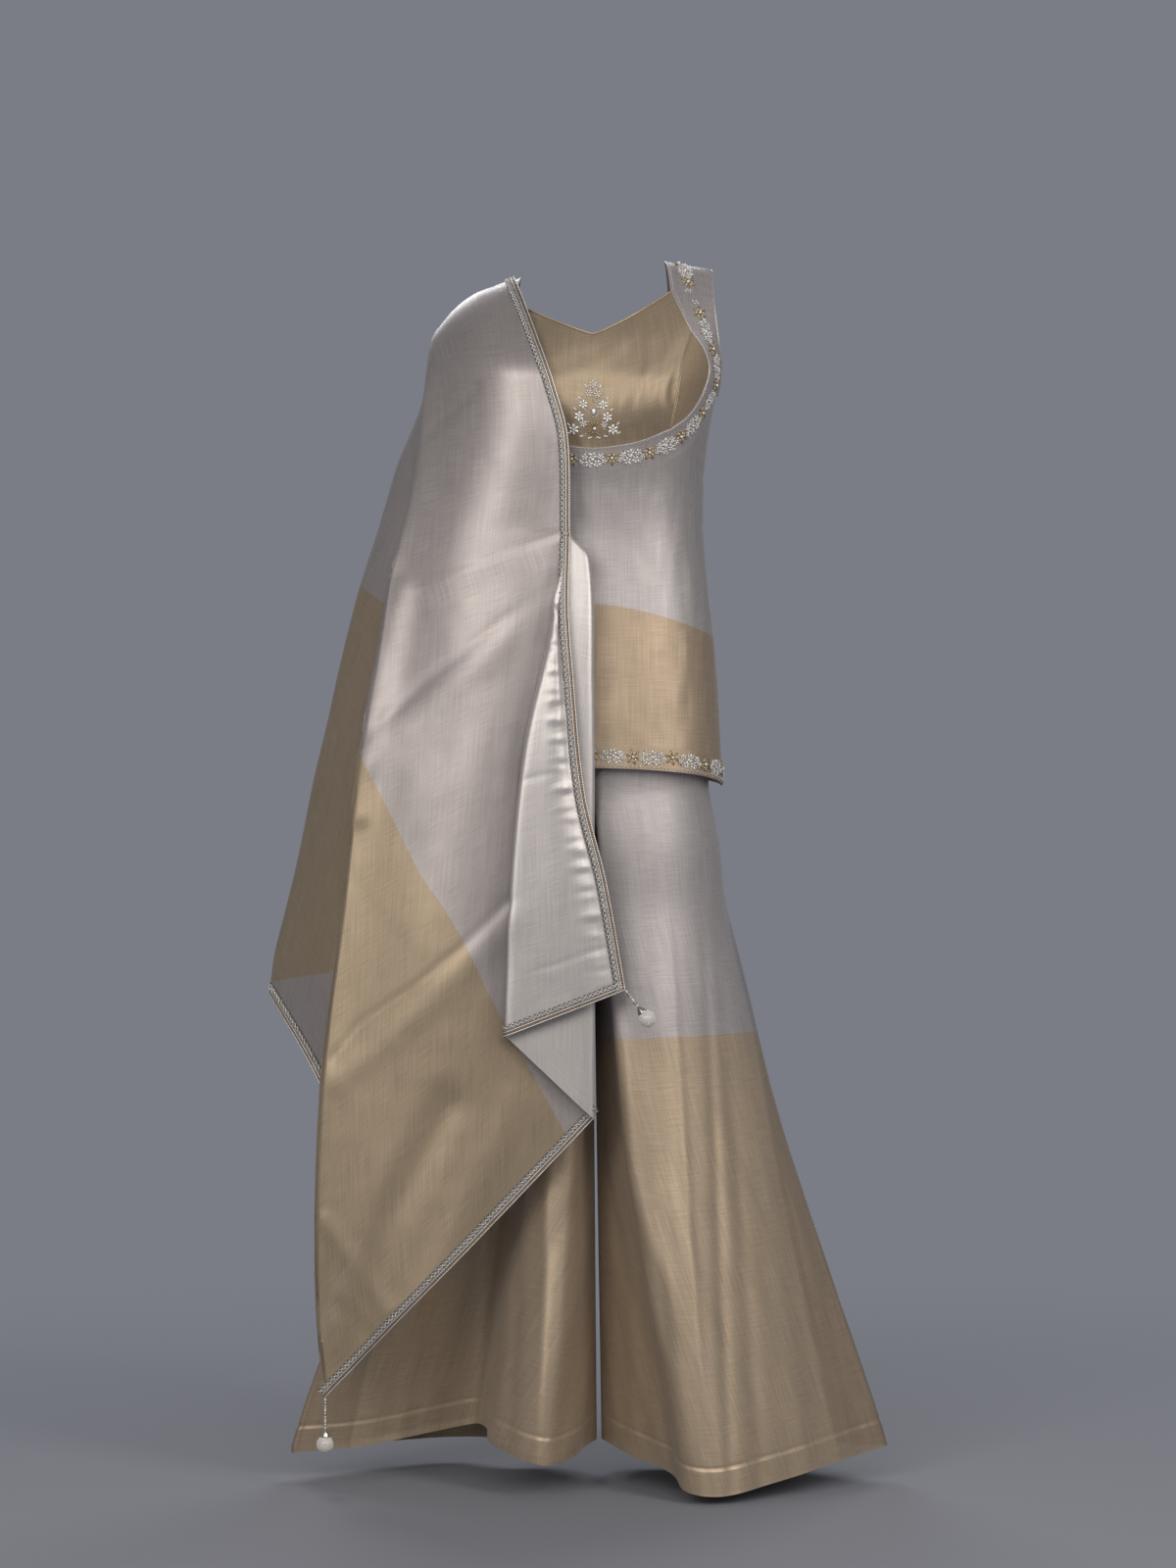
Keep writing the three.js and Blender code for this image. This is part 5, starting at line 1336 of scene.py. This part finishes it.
def hard_finish(name, light, dark, rough, metal, coat, grain_scale):
    """Cast, drawn or moulded small parts: a base colour with a little wear and uneven gloss."""
    material, tree = new_material(name)
    where = node(tree, "ShaderNodeTexCoord")
    patch = node(tree, "ShaderNodeTexNoise", {"Vector": where.outputs["Object"], "Scale": grain_scale,
                                              "Detail": 3.0})
    tone = node(tree, "ShaderNodeMix", {0: patch.outputs[0], 6: linear(dark), 7: linear(light)},
                data_type="RGBA")
    gloss = node(tree, "ShaderNodeMapRange",
                 {"Value": patch.outputs[0], "To Min": rough - 0.06, "To Max": rough + 0.12})
    relief = node(tree, "ShaderNodeBump", {"Height": patch.outputs[0], "Strength": 0.15, "Distance": 0.0002})
    body = node(tree, "ShaderNodeBsdfPrincipled", {
        "Base Color": tone.outputs[2],
        "Roughness": gloss.outputs[0],
        "Normal": relief.outputs[0],
        "Metallic": metal,
        "Coat Weight": coat,
        "Coat Roughness": 0.12,
    })
    node(tree, "ShaderNodeOutputMaterial", {"Surface": body.outputs[0]})
    return material


CAST_SILVER = hard_finish("cast_silver_tone_metal", "#cfccc6", "#8f8c87", 0.22, 0.9, 0.0, 180)
PEARL = hard_finish("pearl_glass_moulded", "#e8e3db", "#cdc7bf", 0.26, 0.12, 0.5, 240)
# The silver-lined glass and the silver wire are given near-white base colours. Part of that whiteness is a
# painted highlight, standing in for the glints they catch.
CUT_GLASS_WITH_PAINTED_GLINT = hard_finish("silver_lined_cut_glass_painted_glint", "#f6f4f1", "#c9c5c0", 0.14, 0.25, 1.0, 420)
GOLD_WIRE = hard_finish("gold_coiled_embroidery_wire", "#c2a876", "#7f6741", 0.34, 0.65, 0.0, 900)
SILVER_WIRE_WITH_PAINTED_GLINT = hard_finish("silver_coiled_wire_painted_glint", "#ece8e3", "#b8b3ac", 0.28, 0.42, 0.0, 900)
SMALL_PARTS = [CAST_SILVER, PEARL, CUT_GLASS_WITH_PAINTED_GLINT, GOLD_WIRE, SILVER_WIRE_WITH_PAINTED_GLINT]
CAST, PEARLY, GLASS, GOLD_SEWN, SILVER_SEWN = range(5)


def round_form(sides, rings):
    """Points and faces of a unit ball with a few rings."""
    points = [(0, 0, 1)]
    for k in range(1, rings + 1):
        tilt = math.pi * k / (rings + 1)
        points += [(math.sin(tilt) * math.cos(2 * math.pi * j / sides),
                    math.sin(tilt) * math.sin(2 * math.pi * j / sides), math.cos(tilt)) for j in range(sides)]
    points.append((0, 0, -1))
    faces = [(0, 1 + j, 1 + (j + 1) % sides) for j in range(sides)]
    for k in range(rings - 1):
        a = 1 + k * sides
        faces += [(a + j, a + sides + j, a + sides + (j + 1) % sides, a + (j + 1) % sides)
                  for j in range(sides)]
    last = 1 + (rings - 1) * sides
    faces += [(last + (j + 1) % sides, last + j, len(points) - 1) for j in range(sides)]
    return np.array(points), faces


def grains(rows, sides=6, rings=3):
    """Many small round forms: rows of centre, three directions, three half sizes and a material."""
    form, form_faces = round_form(sides, rings)
    centre, one, two, three, half, pick = (np.array(column, float) for column in zip(*rows))
    points = centre[:, None] + sum(form[None, :, k, None] * (half[:, k, None] * way)[:, None]
                                   for k, way in enumerate((one, two, three)))
    faces, picks = [], []
    for number, material in enumerate(pick.astype(int)):
        start = number * len(form)
        faces.extend(tuple(start + v for v in face) for face in form_faces)
        picks.extend([int(material)] * len(form_faces))
    return (points.reshape(-1, 3) / 1000).tolist(), faces, picks


def joined(parts):
    verts, faces, picks = [], [], []
    for more_verts, more_faces, more_picks in parts:
        faces.extend(tuple(len(verts) + v for v in face) for face in more_faces)
        picks.extend(more_picks)
        verts.extend(more_verts)
    return verts, faces, picks


def turned_form(profile, origin, axis, one, two, pick, sides=24, flutes=0.0):
    """A form turned round an axis, from rows of radius and distance along it."""
    ring = np.linspace(0, 2 * math.pi, sides, endpoint=False)
    verts, faces = [], []
    for radius, along in profile:
        wide = radius * (1 + flutes * np.cos(ring * 8))
        points = origin + axis * along + np.cos(ring)[:, None] * wide[:, None] * one \
            + np.sin(ring)[:, None] * wide[:, None] * two
        verts.extend((points / 1000).tolist())
    for k in range(len(profile) - 1):
        for j in range(sides):
            a, b = k * sides + j, k * sides + (j + 1) % sides
            faces.append((a, a + sides, b + sides, b))
    faces.append(tuple(range(sides)))
    faces.append(tuple((len(profile) - 1) * sides + j for j in range(sides))[::-1])
    return verts, faces, [pick] * len(faces)


def tassel(node_name, corner, lean, cord_long):
    axis = np.array(lean, float)
    axis /= np.linalg.norm(axis)
    one = np.array([0.0, -1.0, 0.0])
    two = np.cross(axis, one)
    start = corner + axis * 0.5
    parts = []
    run = np.linspace(0, cord_long, int(cord_long / 0.8))
    for shift in (0, math.pi):
        turn = run * 2 * math.pi / STRAND_TURN + shift
        path = start + axis * run[:, None]
        path = path + 0.55 * (np.cos(turn)[:, None] * one + np.sin(turn)[:, None] * two)
        strand = {"points": path, "radius": STRAND_RADIUS, "one": one + 0 * path, "two": two + 0 * path}
        made, ends, _ = tube([strand], 5)
        parts.append((made, ends, [SILVER_SEWN] * len(ends)))
    beads = round(cord_long / BEAD_STEP)
    rows = []
    for k in range(beads):
        middle = (k + 0.5) * cord_long / beads
        rows.append((start + axis * middle, one, two, axis, (2.4, 2.4, 2.1), CAST))
        rows.append((start + axis * (middle - 4.6), one, two, axis, (1.25, 1.25, 2.2), PEARLY))
        rows.append((start + axis * (middle + 3.1), one, two, axis, (1.5, 1.5, 0.8), GLASS))
    parts.append(grains(rows, 12, 7))
    low = cord_long + CAP_LONG
    cap = [(0.9, cord_long - 1), (1.8, cord_long), (3.2, cord_long + 2), (4.9, cord_long + 5), (5.5, low - 1),
           (6.0, low), (5.2, low + 0.6)]
    parts.append(turned_form(cap, start, axis, one, two, CAST, 32, 0.03))
    middle = start + axis * (low + BALL_RADIUS * 0.82)
    core = BALL_RADIUS - 1.3
    rows = [(middle, one, two, axis, (core, core, core), PEARLY)]
    parts.append(grains(rows, 24, 13))
    rows = []
    for k in range(1, SEED_ROWS):
        tilt = math.pi * k / SEED_ROWS
        around = max(1, int(2 * math.pi * core * math.sin(tilt) / (2 * SEED)))
        for j in range(around):
            turn = 2 * math.pi * (j + 0.5 * (k % 2)) / around
            out = math.sin(tilt) * (math.cos(turn) * one + math.sin(turn) * two) + math.cos(tilt) * axis
            rows.append((middle + out * (core + 0.15), one, two, axis, (SEED, SEED, SEED), PEARLY))
    parts.append(grains(rows, 6, 3))
    verts, faces, picks = joined(parts)
    piece = solid_piece(f"beaded_{node_name}", verts, faces, None, SMALL_PARTS, picks)
    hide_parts(node_name)


BACK_CORNER = round(0.7 * (COLUMNS - 1))
corners, _ = on_stole(np.array([front_strip[-1, -1], main_net[-1, -1], back_fall[-1, BACK_CORNER],
                                back_fall[-1, 0]]))
tassel("tassel_front_left", corners[0], (0.6, 0, -0.8), 26)
for node_name, corner in zip(("tassel_front_right", "tassel_back_right", "tassel_back_left"), corners[1:]):
    tassel(node_name, corner, (0, 0, -1), 40)

# The bead embroidery: star flowers of coiled gold wire round a glass bead, small flowers and leaves of
# cut glass and silver wire, and trails of tiny beads. It is sewn by hand below the yoke, up the
# armhole to the strap, and along the hem, as a common traditional ornament.


def sewn_marks(net, marks):
    """Rows for grains(): each mark lies at a length along the net and a share across it, moved by
    millimetres along and across, turned, with its half sizes and material."""
    run = run_of(net[:, net.shape[1] // 2])
    last_row, last_column = net.shape[0] - 1, net.shape[1] - 1
    rows = []
    for length, share, along, across, turn, half, pick in marks:
        r = np.interp(length, run, np.arange(len(run)))
        k = min(int(r), last_row - 1)
        c = share * last_column
        j = min(int(c), last_column - 1)
        corner = net[k:k + 2, j:j + 2]
        t, s = r - k, c - j
        spot = mix(mix(corner[0, 0], corner[0, 1], s), mix(corner[1, 0], corner[1, 1], s), t)
        ahead = mix(corner[1, 0] - corner[0, 0], corner[1, 1] - corner[0, 1], s)
        ahead /= np.linalg.norm(ahead)
        beside = mix(corner[0, 1] - corner[0, 0], corner[1, 1] - corner[1, 0], t)
        beside -= ahead * np.dot(beside, ahead)
        beside /= np.linalg.norm(beside)
        out = np.cross(ahead, beside)
        if np.dot(out, from_axis(spot)) < 0:
            out = -out
        way = ahead * math.cos(turn) + beside * math.sin(turn)
        spot = spot + ahead * along + beside * across + out * (half[2] * 0.7)
        rows.append((spot, way, np.cross(out, way), out, half, pick))
    return rows


def star(length, share, size, chance):
    """A gold star flower with two strands to a petal, and a glass centre."""
    first = chance.uniform(0, math.pi)
    marks = []
    for k in range(6):
        turn = first + k * math.pi / 3
        for lean in (-0.16, 0.16):
            marks.append((length, share, size * 0.54 * math.cos(turn + lean),
                          size * 0.54 * math.sin(turn + lean), turn - lean * 0.9,
                          (size * 0.42, 1.0, 0.9), GOLD_SEWN))
        between = turn + math.pi / 6
        marks.append((length, share, size * 0.44 * math.cos(between), size * 0.44 * math.sin(between),
                      between, (size * 0.16, 0.9, 0.8), GLASS))
    marks.append((length, share, 0, 0, 0, (2.3, 2.3, 2.3), PEARLY))
    return marks


def blossom(length, share, along, across, size, chance):
    """A small flower of five cut glass petals."""
    first = chance.uniform(0, math.pi)
    marks = [(length, share, along, across, 0, (1.1, 1.1, 1.3), PEARLY)]
    for k in range(5):
        turn = first + k * math.pi * 0.4
        marks.append((length, share, along + size * 0.58 * math.cos(turn),
                      across + size * 0.58 * math.sin(turn), turn, (size * 0.40, size * 0.27, 0.8),
                      GLASS if k % 2 else SILVER_SEWN))
    return marks


def spray(length, share, along, across, turn, size, pick):
    """A curved stem of tiny beads with leaves on both sides."""
    marks = []
    for k in range(4):
        bend = turn + 0.2 * k
        along += size * 0.3 * math.cos(bend)
        across += size * 0.3 * math.sin(bend)
        marks.append((length, share, along, across, bend, (size * 0.16, 0.5, 0.5), pick))
        if k % 2:
            for side in (-1, 1):
                open_ = bend + side * 0.9
                marks.append((length, share, along + size * 0.26 * math.cos(open_),
                              across + size * 0.26 * math.sin(open_), open_, (size * 0.2, 0.75, 0.6),
                              SILVER_SEWN if side > 0 else GLASS))
    return marks


# The blossoms of a cluster: along, across and scale, in blossom sizes
CLUSTER = [(-2.75, 0.3, 0.75), (-1.9, -0.8, 0.9), (-1.0, 0.85, 1.05), (0, -0.9, 1.1),
           (1.0, 0.85, 1.05), (1.9, -0.75, 0.9), (2.75, 0.35, 0.75)]


def border(length, room, pitch, seed, shares, over_end=False):
    """Gold stars with clusters of blossoms between them, along a border of a given width; the last
    cluster may lie over the border's end."""
    chance = random.Random(seed)
    marks = []
    count = max(1, round(length / pitch))
    step = length / count
    for k in range(count):
        at = (k + 0.5) * step
        size = min(10.5, room(at) * 0.4)
        share = shares[k % len(shares)]
        marks += star(at, share, size, chance)
        for turn in (0.35, 2.8, -0.35, -2.8):
            marks += spray(at, share, size * 0.95 * math.cos(turn), size * 0.6 * math.sin(turn), turn * 1.1,
                           size * 0.6, SILVER_SEWN)
        at += 0.5 * step
        small = min(5.2, room(at) * 0.2)
        if k == count - 1 and not over_end:
            break
        for along, across, scale in CLUSTER:
            marks += blossom(at, 0.5, along * small, across * small, small * scale, chance)
        marks.append((at, 0.5, 0.1 * small, -small * 0.15, chance.uniform(-0.6, 0.6),
                      (small * 0.5, small * 0.3, 1.4), GLASS))
        for turn in (1.2, 2.0, -1.2, -2.0):
            marks += spray(at, 0.5, small * 1.1 * math.cos(turn), small * 0.9 * math.sin(turn), turn,
                           small * 0.7, GOLD_SEWN)
        for _ in range(18):
            marks.append((at, 0.5, chance.uniform(-2.8, 2.8) * small, chance.uniform(-2.0, 2.0) * small, 0,
                          (0.8, 0.8, 0.8), GOLD_SEWN if chance.random() < 0.4 else GLASS))
    return marks


def bead_row(length, share, step, half, picks):
    count = int(length / step)
    return [((k + 0.5) * length / count, share, 0, 0, 0, half, picks[k % len(picks)]) for k in range(count)]


def net_length(net):
    return float(np.linalg.norm(np.diff(net[:, net.shape[1] // 2], axis=0), axis=1).sum())


def width_at(net):
    wide = np.linalg.norm(net[:, -1] - net[:, 0], axis=1)
    run = run_of(net[:, net.shape[1] // 2])
    return lambda length: float(np.interp(length, run, wide))


def embroidery(name, parts):
    verts, faces, picks = joined(parts)
    return solid_piece(name, verts, faces, None, SMALL_PARTS, picks)


ROW_HALF = (0.8, 0.6, 0.6)
for name, side in (("left", 1), ("right", -1)):
    net = band_points[name]
    long = net_length(net)
    # The left band's last cluster lies over the centre, where the two bands meet
    marks = border(long, width_at(net), 50, 5 if side > 0 else 9, [0.46, 0.5], side > 0)
    fine = bead_row(long, 0.07, 1.7, ROW_HALF, [SILVER_SEWN])
    sewn = [grains(sewn_marks(net, marks), 6, 3), grains(sewn_marks(net, fine), 5, 2)]
    if side > 0:
        # The embroidery keeps to the strap's inner part; the right strap, under the stole, is plain
        over = strap_points[name]
        strap_long = net_length(over)
        strap_marks = border(strap_long, lambda length: 28.0, 44, 7, [0.36, 0.3])
        strap_marks = [(a, min(b, 0.36), *rest_of) for a, b, *rest_of in strap_marks]
        sewn.append(grains(sewn_marks(over, strap_marks), 6, 3))
        sewn.append(grains(sewn_marks(over, bead_row(strap_long, 0.05, 1.7, ROW_HALF, [SILVER_SEWN])), 5, 2))
    embroidery(f"bead_embroidery_{name}", sewn)

for name in ("front", "back"):
    net = np.swapaxes(hem_lines[name], 0, 1)
    long = net_length(net)
    marks = border(long, lambda length: HEM_BORDER - 4, 48, 13 if name == "front" else 17, [0.42, 0.5])
    fine = bead_row(long, 0.93, 1.8, ROW_HALF, [SILVER_SEWN, SILVER_SEWN, GOLD_SEWN])
    fine += bead_row(long, 0.85, 3.4, (0.9, 0.7, 0.7), [GLASS])
    embroidery(f"bead_hem_{name}", [grains(sewn_marks(net, marks), 6, 3),
                                    grains(sewn_marks(net, fine), 5, 2)])

# The ornament on the yoke: a triangle of blossoms and leaves over one gold star, with a drop of cut
# glass in the middle and an edge of tiny beads.
MOTIF_TOP_Z = -160
MOTIF_LOW_Z = -232
MOTIF_HALF = 33


def motif_mark(x, z, turn, half, pick):
    """A mark at a place on the yoke seen from the front, as a row for grains()."""
    near = np.argmin(np.hypot(yoke_points[..., 0] - x, yoke_points[..., 2] - z))
    r, c = np.unravel_index(near, yoke_points.shape[:2])
    spot = yoke_points[r, c]
    out = yoke_normals[r, c]
    y = spot[1] - (out[0] * (x - spot[0]) + out[2] * (z - spot[2])) / out[1]
    way = np.array([math.cos(turn), 0, math.sin(turn)])
    way -= out * np.dot(way, out)
    way /= np.linalg.norm(way)
    return (np.array([x, y, z]) + out * half[2] * 0.7, way, np.cross(out, way), out, half, pick)


yoke_normals = net_normals(yoke_points)
yoke_normals *= np.where(yoke_normals[..., 1:2] > 0, -1, 1)
rows = []
chance = random.Random(21)


def motif_flower(x, z, size, petals, pick, centre):
    first = chance.uniform(0, math.pi)
    for k in range(petals):
        turn = first + 2 * math.pi * k / petals
        rows.append(motif_mark(x + 0.58 * size * math.cos(turn), z + 0.58 * size * math.sin(turn), turn,
                               (size * 0.4, size * 0.24, 0.9), pick))
    rows.append(motif_mark(x, z, 0, (size * 0.26, size * 0.26, 1.3), centre))


for k in range(12):
    turn = k * math.pi / 6
    rows.append(motif_mark(2 + 6.0 * math.cos(turn), -221 + 6.0 * math.sin(turn), turn, (3.6, 0.9, 0.8),
                           GOLD_SEWN))
rows.append(motif_mark(2, -221, 0, (2.4, 2.4, 1.9), GLASS))
rows.append(motif_mark(1, -200, math.pi / 2, (5.0, 2.9, 1.9), GLASS))
for k in range(16):
    turn = 2 * math.pi * k / 16
    rows.append(motif_mark(1 + 4.6 * math.cos(turn), -200 + 6.8 * math.sin(turn), turn, (0.8, 0.8, 0.7),
                           SILVER_SEWN))
# Blossoms in the triangle: x, z, size
for x, z, size in ((0, -166, 4.0), (-5, -177, 3.6), (6, -178, 3.8), (-12, -191, 4.4), (13, -192, 4.6),
                   (-17, -206, 4.8), (18, -207, 4.8), (-24, -222, 5.2), (25, -222, 5.0), (-12, -215, 3.6),
                   (14, -216, 3.4)):
    motif_flower(x, z, size * 1.45, 6, GLASS if size > 4.2 else SILVER_SEWN, PEARLY)
# Leaves beside them: x, z, slope in degrees
for x, z, slope in ((-31, -226, 160), (32, -226, 20), (-30, -216, 130), (31, -215, 50), (-22, -197, 140),
                    (23, -198, 40), (-9, -168, 120), (9, -169, 60), (-17, -183, 140), (18, -184, 40),
                    (-14, -230, 190), (16, -230, -10), (-4, -232, 200), (7, -232, -20)):
    for side in (-0.28, 0.28):
        rows.append(motif_mark(x, z, math.radians(slope) + side, (3.6, 0.8, 0.7), SILVER_SEWN))
for _ in range(150):
    z = chance.uniform(MOTIF_LOW_Z, MOTIF_TOP_Z)
    half = MOTIF_HALF * (MOTIF_TOP_Z - z) / (MOTIF_TOP_Z - MOTIF_LOW_Z)
    rows.append(motif_mark(1 + chance.uniform(-half, half), z, 0, (0.75, 0.75, 0.7),
                           chance.choice((GLASS, SILVER_SEWN, GOLD_SEWN))))
embroidery("bead_triangle_yoke", [grains(rows, 6, 3)])
